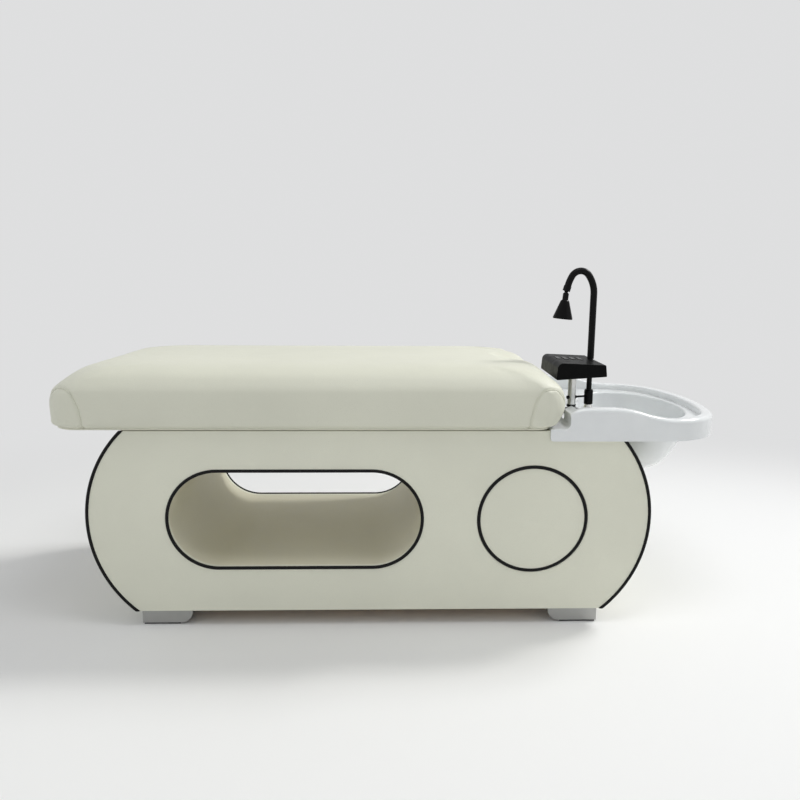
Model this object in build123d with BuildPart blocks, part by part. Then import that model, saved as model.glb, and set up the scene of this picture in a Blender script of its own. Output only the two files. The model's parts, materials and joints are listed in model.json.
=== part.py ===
"""Hair washing bed: upholstered base on feet, mattress, basin, swan-neck shower and console.

Lengths are in millimetres. X runs along the bed with the basin at +X, the front side faces -Y and
Z is up. The origin is on the floor, under the middle of the bed.
"""

import os
from math import atan2, cos, degrees, hypot, radians, sin, sqrt

from build123d import *

os.makedirs("parts", exist_ok=True)

# Overall sizes
overall_length = 1956.0
head_reach = 501.0
mattress_width = 750.0
base_depth = 700.0
base_height = 533.0
foot_end_overhang = 101.0
head_end_overhang = 252.0
foot_height = 47.0

# Fits and cuts
overrun = 20.0
quarter_turn = 90.0
half_turn = 180.0
rest_gap = 0.3
running_gap = 0.05
slip_gap = 0.1

# Base shell
end_radius_share = 0.681
axis_rise_share = 0.514
panel_thickness = 22.0
board_thickness = 18.0
piping_radius = 4.8
piping_sink = 1.0

# Tunnel through the base
tunnel_margin = 213.0
plumbing_bay = 644.0
tunnel_radius_share = 0.268
liner_thickness = 12.0
bulkhead_gap = 18.0
rail_width = 40.0
rail_height = 30.0

# Round cover over the plumbing bay
cover_margin = 339.0
cover_radius_share = 0.289
cover_gap = 1.0
cover_crown = 5.0
ledge_width = 24.0
ledge_thickness = 12.0
ledge_cover = 21.0
catch_radius = 5.0
catch_length = 10.0
catch_grip = 6.0
catch_inset = 10.0
catch_count = 4
catch_start_angle = 45.0

# Feet
foot_margin = 208.5
foot_width = 146.0
foot_depth = 90.0
foot_setback = 10.0
foot_corner = 34.0
foot_edge = 3.0
pad_thickness = 4.0
pad_inset = 4.0
bolt_radius = 4.0
bolt_head_radius = 7.5
bolt_head_height = 5.5
foot_bolt_spacing = 44.0
foot_bolt_grip = 20.0

# Mattress
shadow_gap = 7.0
mattress_rise = 170.0
side_draw = 260.0
end_draw = 340.0
corner_low = 53.0
corner_gain = 50.0
neck_length = 188.0
neck_drop = 90.0
neck_curve = 231.0
mattress_board_inset = 42.0
mattress_board_corner = 60.0
mattress_board_gap = 2.0
mattress_bolt_grip = 12.0
mattress_bolt_margin = 160.0
deck_end_run = 27.0

# Basin shell
basin_wall = 5.0
skirt_stand_off = 6.0
skirt_drop = 29.0
skirt_corner = 9.0
tongue_length = 49.0
wing_gap = 6.0
wing_notch = 17.0
wing_start_rise = 48.0
crest_rise = 64.0
low_rise = 32.0
hump_start = 46.0
hump_length = 70.0
slope_length = 200.0
basin_end_radius = 750.0
basin_corner_radius = 195.0
deck_rise = 12.0
lip_width = 34.0
lip_fillet = 12.0
inner_fillet = 9.0
neck_lip_width = 20.0
neck_lip_rise = 8.0
neck_lip_span = 560.0

# Bowl
bowl_depth = 225.0
bowl_left = 132.0
mouth_fillet = 6.0
bowl_length = 310.0
bowl_width = 500.0
scoop_radius = 95.0
scoop_rise = 48.0
scoop_run = 124.0
notch_gap = 6.0
spout_notch = 37.0
spout_notch_drop = 37.0

# Drain
drain_hole_radius = 23.0
drain_neck_radius = 22.5
drain_bore_radius = 19.0
drain_flange_radius = 32.0
drain_flange_thickness = 3.0
drain_neck_length = 46.0
drain_nut_radius = 34.0
drain_nut_height = 12.0
strainer_radius = 26.0
strainer_thickness = 1.5
strainer_skirt = 8.0
strainer_wall = 2.0
strainer_ring_radii = (8.0, 14.0)
strainer_hole_counts = (6, 10)
strainer_hole_radius = 2.4
trap_radius = 30.0
trap_wall = 3.0
trap_height = 86.0
trap_boss_radius = 24.0
trap_boss_length = 8.0
trap_outlet_drop = 45.0
pipe_radius = 19.0
pipe_wall = 2.0
pipe_run = 112.0
pipe_stub = 24.0
outlet_radius = 20.0
outlet_length = 16.0
pipe_bend = 34.0
pipe_collar = 4.0

# Water supply
inlet_radius = 10.5
inlet_bore = 7.5
inlet_nut_radius = 15.0
inlet_nut_height = 8.0
inlet_stub = 22.0
inlet_thread = 14.0
inlet_relief = 5.0
inlet_relief_radius = 9.5
inlet_body_radius = 11.5
inlet_top = 14.0
inlet_margin = 256.0
inlet_spacing = 110.0
hose_radius = 5.8
hose_bore = 4.0
ferrule_height = 8.0
hose_bend = 60.0
hot_rise = 243.0
cold_rise = 213.0
hot_drop = 94.0
cold_drop = 54.0

# Faucet group on the deck of the basin
post_run = 65.0
post_y = -130.0
post_radius = 12.0
post_wall = 1.5
post_flange_radius = 27.0
post_flange_height = 12.0
post_band_radius = 14.0
post_band_height = 7.0
post_band_rise = 18.0
post_bolt_radius = 5.0
post_bolt_head_radius = 9.0
post_bolt_head_height = 6.0
post_plug = 12.0
post_flange_edge = 3.0
spout_run = 125.0
spout_y = -106.0
spout_base_radius = 17.0
spout_base_top_radius = 10.0
spout_base_height = 22.0
spout_shank_radius = 12.0
spout_shank_length = 28.0
spout_nut_radius = 18.0
spout_nut_height = 9.0
tail_spacing = 12.2
spout_base_foot = 3.0
chamber_radius = 5.5
chamber_depth = 16.0
fitting_radius = 13.5
fitting_top_radius = 11.5
fitting_height = 46.0
fitting_chamfer = 4.0
fitting_socket = 26.0
fitting_bore = 5.5
link_radius = 3.2
link_cone_radius = 7.0
link_cone_length = 8.0
link_head_radius = 5.5
link_head_length = 4.0
link_rise = 47.0
link_sink = 3.0

# Swan neck and bell
riser_radius = 8.0
riser_bore = 5.5
neck_radius = 10.25
neck_overlap = 25.0
neck_start_rise = 47.0
arch_spring = 363.0
side_arc_radius = 95.0
apex_arc_radius = 30.0
apex_centre_run = 52.0
fall_arc_radius = 110.0
fall_start_angle = 30.0
fall_end_angle = 16.0
fall_straight = 6.0
collar_radius = 11.5
collar_length = 16.0
ball_radius = 7.5
ball_depth = 13.0
stem_radius = 4.5
stem_length = 7.0
stem_bore = 2.0
bell_tilt = 5.5
bell_neck_radius = 9.0
bell_neck_step = 2.5
bell_neck_length = 30.0
bell_top_radius = 13.0
bell_mouth_radius = 30.0
bell_height = 58.0
bell_wall = 2.2
bell_edge = 3.0
bell_seat_radius = 27.0
spray_thickness = 3.0
spray_recess = 2.0
spray_hole_radius = 1.1
spray_ring_radii = (9.0, 18.0)
spray_hole_counts = (6, 12)

# Console
console_turn = -2.8
console_front = 146.0
console_depth = 262.0
console_overhang = 13.5
console_front_y = -250.0
console_bottom_rise = 117.0
console_left_height = 50.0
console_right_height = 34.0
console_slope = 11.0
console_top_radius = 17.0
console_edge = 3.0
console_wall = 2.5
console_lid = 4.0
console_left_lean = 4.0
console_right_lean = 4.0
riser_hole_radius = 9.0
post_seat_rise = 21.0
boss_radius = 15.5
boss_height = 26.0
key_count = 4
key_pitch = 22.0
key_width = 12.0
key_length = 58.0
key_rise = 1.2
key_gap = 0.8
key_first_run = 30.0
key_front_run = 118.0
key_ledge = 2.0

# Places worked out from the sizes above
left_x = -overall_length / 2
right_x = overall_length / 2
mattress_right_x = right_x - head_reach
base_left_x = left_x + foot_end_overhang
base_right_x = right_x - head_end_overhang
end_radius = end_radius_share * base_height
left_arc_x = base_left_x + end_radius
right_arc_x = base_right_x - end_radius
front_y = -base_depth / 2
back_y = base_depth / 2
bottom_z = foot_height
deck_z = foot_height + base_height
axis_z = foot_height + axis_rise_share * base_height
inner_depth = base_depth - 2 * panel_thickness
floor_z = bottom_z + board_thickness
under_deck_z = deck_z - board_thickness
tunnel_radius = tunnel_radius_share * base_height
tunnel_left_x = base_left_x + tunnel_margin
tunnel_right_x = base_right_x - plumbing_bay
tunnel_x = (tunnel_left_x + tunnel_right_x) / 2
tunnel_half_length = (tunnel_right_x - tunnel_left_x) / 2
tunnel_straight = 2 * (tunnel_half_length - tunnel_radius - liner_thickness)
cover_radius = cover_radius_share * base_height
cover_x = base_right_x - cover_margin
inlet_x = base_right_x - inlet_margin
tongue_x = mattress_right_x - tongue_length
wing_x = mattress_right_x + wing_gap
tongue_z = deck_z + basin_wall
basin_deck_z = deck_z + deck_rise
basin_under_z = basin_deck_z - basin_wall
skirt_z = deck_z - skirt_drop
basin_half_width = base_depth / 2 + skirt_stand_off
bowl_left_x = wing_x + bowl_left
bowl_floor_z = basin_deck_z - bowl_depth
post_x = wing_x + post_run - basin_wall
spout_x = wing_x + spout_run - basin_wall
console_z = basin_deck_z + console_bottom_rise
console_left_x = mattress_right_x - console_overhang
deck_right_x = wing_x + deck_end_run
left_bulkhead_x = tunnel_x - tunnel_half_length - bulkhead_gap
right_bulkhead_x = tunnel_x + tunnel_half_length + bulkhead_gap
foot_y = base_depth / 2 - foot_setback - foot_depth / 2
mattress_z = deck_z + shadow_gap


def side_plane(y):
    """Plane at depth y that faces the front, with its own axes along X and Z."""
    return Plane.XZ.offset(-y)


def half_chord(radius, z):
    """Half the width at height z of a circle whose centre is on the bed's long axis."""
    return sqrt(radius**2 - (z - axis_z) ** 2)


def base_outline(inset, low_z, high_z):
    """Side view of the base between two levels, drawn in by inset at the bulged ends."""
    radius = end_radius - inset
    middle_z = (low_z + high_z) / 2
    low = half_chord(radius, low_z)
    middle = half_chord(radius, middle_z)
    high = half_chord(radius, high_z)
    with BuildSketch() as outline:
        with BuildLine():
            Line((left_arc_x - low, low_z), (right_arc_x + low, low_z))
            ThreePointArc(
                (right_arc_x + low, low_z),
                (right_arc_x + middle, middle_z),
                (right_arc_x + high, high_z),
            )
            Line((right_arc_x + high, high_z), (left_arc_x - high, high_z))
            ThreePointArc(
                (left_arc_x - high, high_z),
                (left_arc_x - middle, middle_z),
                (left_arc_x - low, low_z),
            )
        make_face()
    return outline.sketch_local


def end_band(centre_x, side, high_z):
    """Side view of one bent end panel; side is -1 at the foot end and 1 at the head end."""
    inner_radius = end_radius - board_thickness
    middle_z = (bottom_z + high_z) / 2
    outer = [
        (centre_x + side * half_chord(end_radius, z), z) for z in (bottom_z, middle_z, high_z)
    ]
    inner = [
        (centre_x + side * half_chord(inner_radius, z), z) for z in (bottom_z, middle_z, high_z)
    ]
    with BuildSketch() as outline:
        with BuildLine():
            ThreePointArc(*outer)
            Line(outer[-1], inner[-1])
            ThreePointArc(*inner)
            Line(inner[0], outer[0])
        make_face()
    return outline.sketch_local


def end_piping(centre_x, side, y, radius, high_z):
    """Piping along one bulged edge of a side panel, cut level at both ends."""
    path_radius = end_radius - piping_sink
    low = degrees(atan2(bottom_z - overrun - axis_z, half_chord(path_radius, bottom_z - overrun)))
    high = degrees(atan2(deck_z + overrun - axis_z, half_chord(path_radius, deck_z + overrun)))
    start = low if side > 0 else half_turn - low
    size = (high - low) * side
    with BuildPart() as piping:
        with BuildLine(side_plane(y)) as path:
            CenterArc((centre_x, axis_z), path_radius, start, size)
        with BuildSketch(Plane(origin=path.line @ 0, z_dir=path.line % 0)):
            Circle(radius)
        sweep(path=path.line)
        split(bisect_by=Plane.XY.offset(bottom_z), keep=Keep.TOP)
        split(bisect_by=Plane.XY.offset(high_z), keep=Keep.BOTTOM)
    return piping.part


def tunnel_piping(y, radius):
    """Piping round one mouth of the tunnel."""
    path_radius = tunnel_radius + piping_sink
    half = tunnel_straight / 2
    with BuildPart() as piping:
        with BuildLine(side_plane(y)) as path:
            Line((tunnel_x - half, axis_z + path_radius), (tunnel_x + half, axis_z + path_radius))
            CenterArc((tunnel_x + half, axis_z), path_radius, quarter_turn, -half_turn)
            Line((tunnel_x + half, axis_z - path_radius), (tunnel_x - half, axis_z - path_radius))
            CenterArc((tunnel_x - half, axis_z), path_radius, -quarter_turn, -half_turn)
        with BuildSketch(Plane(origin=path.line @ 0, z_dir=path.line % 0)):
            Circle(radius)
        sweep(path=path.line)
    return piping.part


def cover_piping(radius):
    """Ring of piping round the front edge of the access cover."""
    with BuildPart() as ring:
        with BuildSketch(Plane.XZ):
            with Locations((cover_radius, 0)):
                Circle(radius)
        revolve(axis=Axis.Z)
    turned = ring.part.rotate(Axis.X, quarter_turn)
    return turned.translate((cover_x, front_y + piping_sink, axis_z))


front_piping_y = front_y + piping_sink
back_piping_y = back_y - piping_sink
groove_radius = piping_radius + slip_gap
seat_radius = cover_radius + piping_radius + cover_gap
ledge_radius = seat_radius - ledge_width

# Front side panel: upholstered board with the tunnel mouth and the seat of the round cover
with BuildPart() as front_panel:
    with BuildSketch(side_plane(front_y)):
        add(base_outline(0, bottom_z, deck_z))
        with Locations((tunnel_x, axis_z)):
            SlotCenterToCenter(tunnel_straight, 2 * tunnel_radius, mode=Mode.SUBTRACT)
        with Locations((cover_x, axis_z)):
            Circle(seat_radius, mode=Mode.SUBTRACT)
    extrude(amount=-panel_thickness)
    add(end_piping(left_arc_x, -1, front_piping_y, groove_radius, deck_z), mode=Mode.SUBTRACT)
    add(end_piping(right_arc_x, 1, front_piping_y, groove_radius, skirt_z), mode=Mode.SUBTRACT)
    add(tunnel_piping(front_piping_y, groove_radius), mode=Mode.SUBTRACT)

front_panel.part.label = "front_panel"
export_step(front_panel.part, "parts/front_panel.step")

# Back side panel: the same board with the tunnel mouth alone
with BuildPart() as back_panel:
    with BuildSketch(side_plane(back_y)):
        add(base_outline(0, bottom_z, deck_z))
        with Locations((tunnel_x, axis_z)):
            SlotCenterToCenter(tunnel_straight, 2 * tunnel_radius, mode=Mode.SUBTRACT)
    extrude(amount=panel_thickness)
    add(end_piping(left_arc_x, -1, back_piping_y, groove_radius, deck_z), mode=Mode.SUBTRACT)
    add(end_piping(right_arc_x, 1, back_piping_y, groove_radius, skirt_z), mode=Mode.SUBTRACT)
    add(tunnel_piping(back_piping_y, groove_radius), mode=Mode.SUBTRACT)

back_panel.part.label = "back_panel"
export_step(back_panel.part, "parts/back_panel.step")

# Black piping in the seams of the side panels
piping_places = {
    "piping_front_left": (left_arc_x, -1, front_piping_y, deck_z),
    "piping_front_right": (right_arc_x, 1, front_piping_y, skirt_z),
    "piping_back_left": (left_arc_x, -1, back_piping_y, deck_z),
    "piping_back_right": (right_arc_x, 1, back_piping_y, skirt_z),
}
for piping_name, (centre_x, side, piping_y, high_z) in piping_places.items():
    end_cord = end_piping(centre_x, side, piping_y, piping_radius, high_z)
    end_cord.label = piping_name
    export_step(end_cord, f"parts/{piping_name}.step")

for piping_name, piping_y in {
    "piping_tunnel_front": front_piping_y,
    "piping_tunnel_back": back_piping_y,
}.items():
    mouth_cord = tunnel_piping(piping_y, piping_radius)
    mouth_cord.label = piping_name
    export_step(mouth_cord, f"parts/{piping_name}.step")

# Lining of the tunnel, between the two side panels
with BuildPart() as tunnel_liner:
    with BuildSketch(side_plane(front_y + panel_thickness)):
        with Locations((tunnel_x, axis_z)):
            SlotCenterToCenter(tunnel_straight, 2 * (tunnel_radius + liner_thickness))
            SlotCenterToCenter(tunnel_straight, 2 * tunnel_radius, mode=Mode.SUBTRACT)
    extrude(amount=-inner_depth)

tunnel_liner.part.label = "tunnel_liner"
export_step(tunnel_liner.part, "parts/tunnel_liner.step")


# Levels of the bowl from above the deck to the floor at the drain: share of the depth, then where
# its left and right ends are as shares of the length, then its width as a share of the bowl's width
bowl_shares = (
    (-0.09, -0.012, 1.01, 1.016),
    (0.0, 0.0, 1.0, 1.0),
    (0.23, 0.0, 0.99, 0.955),
    (0.41, 0.0, 0.958, 0.89),
    (0.54, -0.003, 0.913, 0.82),
    (0.676, -0.01, 0.848, 0.72),
    (0.787, -0.016, 0.742, 0.585),
    (0.876, -0.013, 0.58, 0.43),
    (0.951, 0.003, 0.387, 0.27),
    (1.0, 0.007, 0.225, 0.14),
)


def bowl_level(share_row, extra):
    """Height, centre, half length and half width of one level of the bowl, grown by extra."""
    depth_share, left_share, right_share, width_share = share_row
    z = basin_deck_z - (bowl_depth + extra) * depth_share
    left = bowl_left_x + bowl_length * left_share - extra
    right = bowl_left_x + bowl_length * right_share + extra
    return z, (left + right) / 2, (right - left) / 2, bowl_width / 2 * width_share + extra


def bowl_body(extra, top_z):
    """The bowl as a closed body, grown outwards by extra and cut off at top_z."""
    with BuildPart() as bowl:
        for share_row in bowl_shares:
            z, centre, half_length, half_width = bowl_level(share_row, extra)
            with BuildSketch(Plane.XY.offset(z)):
                with Locations((centre, 0)):
                    Ellipse(half_length, half_width)
        loft()
        split(bisect_by=Plane.XY.offset(top_z), keep=Keep.BOTTOM)
    return bowl.part


def scoop_body(extra, top_z):
    """Ball that hollows the deck for the neck, grown outwards by extra and cut off at top_z."""
    with BuildPart() as scoop:
        with Locations((wing_x + scoop_run, 0, basin_deck_z + scoop_rise)):
            Sphere(scoop_radius + extra)
        split(bisect_by=Plane.XY.offset(top_z), keep=Keep.BOTTOM)
    return scoop.part


drain_x = bowl_level(bowl_shares[-1], 0)[1]
bowl_under_z = bowl_floor_z - basin_wall


def basin_plan(inset, from_x):
    """Plan of the basin: straight sides, round corners and a bowed end, drawn in by inset."""
    half_width = basin_half_width - inset
    end_arc = basin_end_radius - inset
    corner_arc = basin_corner_radius - inset
    end_x = right_x - basin_end_radius
    corner_y = basin_half_width - basin_corner_radius
    corner_x = end_x + sqrt((basin_end_radius - basin_corner_radius) ** 2 - corner_y**2)
    turn = degrees(atan2(corner_y, corner_x - end_x))
    with BuildSketch() as outline:
        with BuildLine():
            Line((from_x, half_width), (from_x, -half_width))
            Line((from_x, -half_width), (corner_x, -half_width))
            CenterArc((corner_x, -corner_y), corner_arc, -quarter_turn, quarter_turn - turn)
            CenterArc((end_x, 0), end_arc, -turn, 2 * turn)
            CenterArc((corner_x, corner_y), corner_arc, turn, quarter_turn - turn)
            Line((corner_x, half_width), (from_x, half_width))
        make_face()
    return outline.sketch_local


def basin_profile(drop):
    """Side view of the basin under its top line, which is lowered by drop."""
    start_x = wing_x + drop
    step_z = tongue_z - drop
    start_z = deck_z + wing_start_rise - drop
    crest_z = deck_z + crest_rise - drop
    low_z = deck_z + low_rise - drop
    hump_x = wing_x + hump_start
    slope_x = hump_x + hump_length
    end_x = slope_x + slope_length
    with BuildSketch() as outline:
        with BuildLine():
            Line((tongue_x - overrun, skirt_z - overrun), (tongue_x - overrun, step_z))
            Line((tongue_x - overrun, step_z), (start_x - wing_notch, step_z))
            CenterArc((start_x - wing_notch, step_z + wing_notch), wing_notch, -quarter_turn, quarter_turn)
            Line((start_x, step_z + wing_notch), (start_x, start_z))
            TangentArc((hump_x, crest_z), (start_x, start_z), tangent=(-1, 0))
            Line((hump_x, crest_z), (slope_x, crest_z))
            middle = ((slope_x + end_x) / 2, (crest_z + low_z) / 2)
            slope = TangentArc((slope_x, crest_z), middle, tangent=(1, 0))
            TangentArc(middle, (end_x, low_z), tangent=slope % 1)
            Line((end_x, low_z), (right_x + overrun, low_z))
            Line((right_x + overrun, low_z), (right_x + overrun, skirt_z - overrun))
            Line((right_x + overrun, skirt_z - overrun), (tongue_x - overrun, skirt_z - overrun))
        make_face()
    return outline.sketch_local


plan_height = crest_rise + skirt_drop
side_reach = basin_half_width + overrun

# Hollow under the basin: all of the plan up to the deck, and lower under the tongue
with BuildPart() as basin_hollow:
    with BuildSketch(Plane.XY.offset(skirt_z - overrun)):
        add(basin_plan(basin_wall, tongue_x - overrun))
    extrude(amount=basin_under_z - skirt_z + overrun)
    with BuildSketch(Plane.XY.offset(deck_z)):
        with Locations((tongue_x - overrun, 0)):
            Rectangle(2 * (wing_x + basin_wall - tongue_x + overrun), 2 * side_reach)
    extrude(amount=plan_height, mode=Mode.SUBTRACT)

# Channel up inside the lip
with BuildPart() as lip_channel:
    with BuildSketch(Plane.XY.offset(basin_under_z)):
        add(basin_plan(basin_wall, wing_x + basin_wall))
        add(basin_plan(lip_width - basin_wall, wing_x), mode=Mode.SUBTRACT)
    extrude(amount=plan_height)
    with BuildSketch(side_plane(0)):
        add(basin_profile(lip_fillet / 2))
    extrude(amount=side_reach, both=True, mode=Mode.INTERSECT)

# Basin shell: skirt, raised lip that swells beside the neck, deck, neck scoop and bowl
with BuildPart() as basin_shell:
    with BuildSketch(Plane.XY.offset(skirt_z)):
        add(basin_plan(0, tongue_x))
    extrude(amount=plan_height)
    with BuildSketch(side_plane(0)):
        add(basin_profile(0))
    extrude(amount=side_reach, both=True, mode=Mode.INTERSECT)
    rim_edges = [
        edge
        for edge in basin_shell.edges()
        if edge.center().Z > deck_z + low_rise - rest_gap
        and edge.center().X > wing_x + rest_gap
        and (abs(edge.center().Y) > lip_width or edge.center().X > right_x - lip_width)
    ]
    fillet(rim_edges, radius=lip_fillet)
    with BuildSketch(Plane.XY.offset(basin_deck_z)):
        add(basin_plan(lip_width, wing_x + neck_lip_width))
    extrude(amount=plan_height, mode=Mode.SUBTRACT)
    lip_edges = [
        edge
        for edge in basin_shell.edges(Select.LAST).filter_by(Axis.Z, reverse=True)
        if edge.center().Z > basin_deck_z + rest_gap
        and edge.center().X > wing_x + neck_lip_width + rest_gap
    ]
    fillet(lip_edges, radius=inner_fillet)
    with BuildSketch(Plane.XY.offset(basin_deck_z + neck_lip_rise)):
        with Locations((wing_x, 0)):
            Rectangle(2 * neck_lip_width + overrun, neck_lip_span)
    extrude(amount=plan_height, mode=Mode.SUBTRACT)
    add(basin_hollow.part, mode=Mode.SUBTRACT)
    add(lip_channel.part, mode=Mode.SUBTRACT)
    add(bowl_body(basin_wall, basin_deck_z))
    add(scoop_body(basin_wall, basin_deck_z))
    add(bowl_body(0, basin_deck_z + overrun), mode=Mode.SUBTRACT)
    add(scoop_body(0, basin_deck_z + overrun), mode=Mode.SUBTRACT)
    mouth_edges = [
        edge
        for edge in basin_shell.edges()
        if abs(edge.center().Z - basin_deck_z) < rest_gap
        and wing_x + scoop_run - scoop_radius < edge.center().X < bowl_left_x + bowl_length
        and abs(edge.center().Y) < bowl_width / 2
    ]
    fillet(mouth_edges, radius=mouth_fillet)
    with BuildSketch(Plane.XY.offset(basin_deck_z)):
        with Locations((spout_x, spout_y)):
            Circle(spout_shank_radius + slip_gap)
        with Locations((post_x, post_y)):
            Circle(post_bolt_radius + slip_gap)
    extrude(amount=-(basin_wall + overrun), mode=Mode.SUBTRACT)
    with BuildSketch(Plane.XY.offset(bowl_floor_z + overrun)):
        with Locations((drain_x, 0)):
            Circle(drain_hole_radius)
    extrude(amount=-(basin_wall + 2 * overrun), mode=Mode.SUBTRACT)
    skirt_corners = [
        edge
        for edge in basin_shell.edges().filter_by(Axis.Y)
        if abs(edge.center().X - tongue_x) < rest_gap and abs(edge.center().Z - skirt_z) < rest_gap
    ]
    fillet(skirt_corners, radius=skirt_corner)

basin_shell.part.label = "basin_shell"
export_step(basin_shell.part, "parts/basin_shell.step")

# Foot-end panel, bent to the arc of the base
with BuildPart() as left_end_panel:
    with BuildSketch(side_plane(front_y + panel_thickness)):
        add(end_band(left_arc_x, -1, deck_z))
    extrude(amount=-inner_depth)

left_end_panel.part.label = "left_end_panel"
export_step(left_end_panel.part, "parts/left_end_panel.step")

# Head-end panel: carries the deck of the basin and is cut out round the bowl and the spout
with BuildPart() as right_end_panel:
    with BuildSketch(side_plane(front_y + panel_thickness)):
        add(end_band(right_arc_x, 1, basin_under_z))
    extrude(amount=-inner_depth)
    add(bowl_body(basin_wall + notch_gap, basin_deck_z), mode=Mode.SUBTRACT)
    add(scoop_body(basin_wall + notch_gap, basin_deck_z), mode=Mode.SUBTRACT)
    with BuildSketch(Plane.XY.offset(basin_under_z)):
        with Locations((spout_x, spout_y)):
            Rectangle(2 * spout_notch, 2 * spout_notch)
    extrude(amount=-spout_notch_drop, mode=Mode.SUBTRACT)

right_end_panel.part.label = "right_end_panel"
export_step(right_end_panel.part, "parts/right_end_panel.step")

pipe_x = drain_x - pipe_run
inlet_places = {"hot": (inlet_x, -inlet_spacing / 2), "cold": (inlet_x, inlet_spacing / 2)}
foot_places = {
    "foot_front_left": (base_left_x + foot_margin, -foot_y),
    "foot_front_right": (base_right_x - foot_margin, -foot_y),
    "foot_back_left": (base_left_x + foot_margin, foot_y),
    "foot_back_right": (base_right_x - foot_margin, foot_y),
}
foot_bolt_places = [
    (x, y + share * foot_bolt_spacing) for x, y in foot_places.values() for share in (-0.5, 0.5)
]
deck_left_x = left_arc_x - sqrt((end_radius - board_thickness) ** 2 - (deck_z - axis_z) ** 2)
mattress_bolt_places = [
    (x, side * (inner_depth / 2 - mattress_bolt_margin))
    for x in (deck_left_x + mattress_bolt_margin, deck_right_x - mattress_bolt_margin)
    for side in (-1, 1)
]

# Bottom board, with holes for the drain pipe, the water inlets and the bolts of the feet
with BuildPart() as bottom_board:
    with BuildSketch(side_plane(front_y + panel_thickness)):
        add(base_outline(board_thickness, bottom_z, floor_z))
    extrude(amount=-inner_depth)
    with BuildSketch(Plane.XY.offset(floor_z)):
        with Locations((pipe_x, 0)):
            Circle(outlet_radius + slip_gap)
        with Locations(*inlet_places.values()):
            Circle(inlet_body_radius + slip_gap)
        with Locations(*foot_bolt_places):
            Circle(bolt_radius + slip_gap)
    extrude(amount=-board_thickness, mode=Mode.SUBTRACT)

bottom_board.part.label = "bottom_board"
export_step(bottom_board.part, "parts/bottom_board.step")

# Top deck under the mattress, ending just inside the wings of the basin
with BuildPart() as top_deck:
    with BuildSketch(side_plane(front_y + panel_thickness)):
        add(base_outline(board_thickness, under_deck_z, deck_z))
    extrude(amount=-inner_depth)
    split(bisect_by=Plane.YZ.offset(deck_right_x), keep=Keep.BOTTOM)
    with BuildSketch(Plane.XY.offset(deck_z)):
        with Locations(*mattress_bolt_places):
            Circle(bolt_radius + slip_gap)
    extrude(amount=-board_thickness, mode=Mode.SUBTRACT)

top_deck.part.label = "top_deck"
export_step(top_deck.part, "parts/top_deck.step")

# Upright boards on both sides of the tunnel, and rails along the side panels between them
bulkhead_centres = {
    "left_bulkhead": left_bulkhead_x - board_thickness / 2,
    "right_bulkhead": right_bulkhead_x + board_thickness / 2,
}
for bulkhead_name, bulkhead_x in bulkhead_centres.items():
    with BuildPart() as bulkhead:
        with BuildSketch(Plane.XY.offset(floor_z)):
            with Locations((bulkhead_x, 0)):
                Rectangle(board_thickness, inner_depth)
        extrude(amount=under_deck_z - floor_z)
    bulkhead.part.label = bulkhead_name
    export_step(bulkhead.part, f"parts/{bulkhead_name}.step")

for rail_name, side in {"front_rail": -1, "back_rail": 1}.items():
    with BuildPart() as rail:
        with BuildSketch(Plane.XY.offset(under_deck_z)):
            with Locations((tunnel_x, side * (inner_depth - rail_width) / 2)):
                Rectangle(right_bulkhead_x - left_bulkhead_x, rail_width)
        extrude(amount=-rail_height)
    rail.part.label = rail_name
    export_step(rail.part, f"parts/{rail_name}.step")

# Feet: metal blocks, upright outside and rounded at their inner lower corner
for foot_name, (foot_x, centre_y) in foot_places.items():
    inner_end = 0 if foot_x > tunnel_x else -1
    with BuildPart() as foot:
        with BuildSketch(side_plane(centre_y - foot_depth / 2)) as foot_outline:
            with Locations((foot_x, (foot_height + pad_thickness) / 2)):
                Rectangle(foot_width, foot_height - pad_thickness)
            lower_corners = foot_outline.vertices().group_by(Axis.Y)[0].sort_by(Axis.X)
            fillet(lower_corners[inner_end], radius=foot_corner)
        extrude(amount=-foot_depth)
        face_groups = foot.edges().group_by(Axis.Y)
        outlines = face_groups[0].sort_by(Axis.Z)[:-1] + face_groups[-1].sort_by(Axis.Z)[:-1]
        fillet(outlines, radius=foot_edge)
        with BuildSketch(Plane.XY.offset(foot_height)):
            with Locations((foot_x, centre_y)):
                with GridLocations(foot_width, foot_bolt_spacing, 1, 2):
                    Circle(bolt_radius + slip_gap)
        extrude(amount=-foot_bolt_grip, mode=Mode.SUBTRACT)
    foot.part.label = foot_name
    export_step(foot.part, f"parts/{foot_name}.step")

# Rubber pads under the flat part of the feet
with BuildPart() as foot_pads:
    with BuildSketch():
        for foot_x, centre_y in foot_places.values():
            outward = 1 if foot_x > tunnel_x else -1
            with Locations((foot_x + outward * foot_corner / 2, centre_y)):
                Rectangle(foot_width - foot_corner - 2 * pad_inset, foot_depth - 2 * pad_inset)
    extrude(amount=pad_thickness)

foot_pads.part.label = "foot_pads"
export_step(foot_pads.part, "parts/foot_pads.step")

# Bolts that hold the feet, their heads on the bottom board
with BuildPart() as foot_bolts:
    with BuildSketch(Plane.XY.offset(floor_z)):
        with Locations(*foot_bolt_places):
            Circle(bolt_head_radius)
    extrude(amount=bolt_head_height)
    with BuildSketch(Plane.XY.offset(floor_z)):
        with Locations(*foot_bolt_places):
            Circle(bolt_radius)
    extrude(amount=-(board_thickness + foot_bolt_grip))

foot_bolts.part.label = "foot_bolts"
export_step(foot_bolts.part, "parts/foot_bolts.step")

# Board inside the underside of the mattress
board_left_x = left_x + mattress_board_inset
board_right_x = tongue_x - mattress_board_gap
board_width = mattress_width - 2 * mattress_board_inset


def board_plan():
    """Plan of the mattress board."""
    with BuildSketch() as outline:
        with Locations(((board_left_x + board_right_x) / 2, 0)):
            RectangleRounded(board_right_x - board_left_x, board_width, mattress_board_corner)
    return outline.sketch_local


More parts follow.
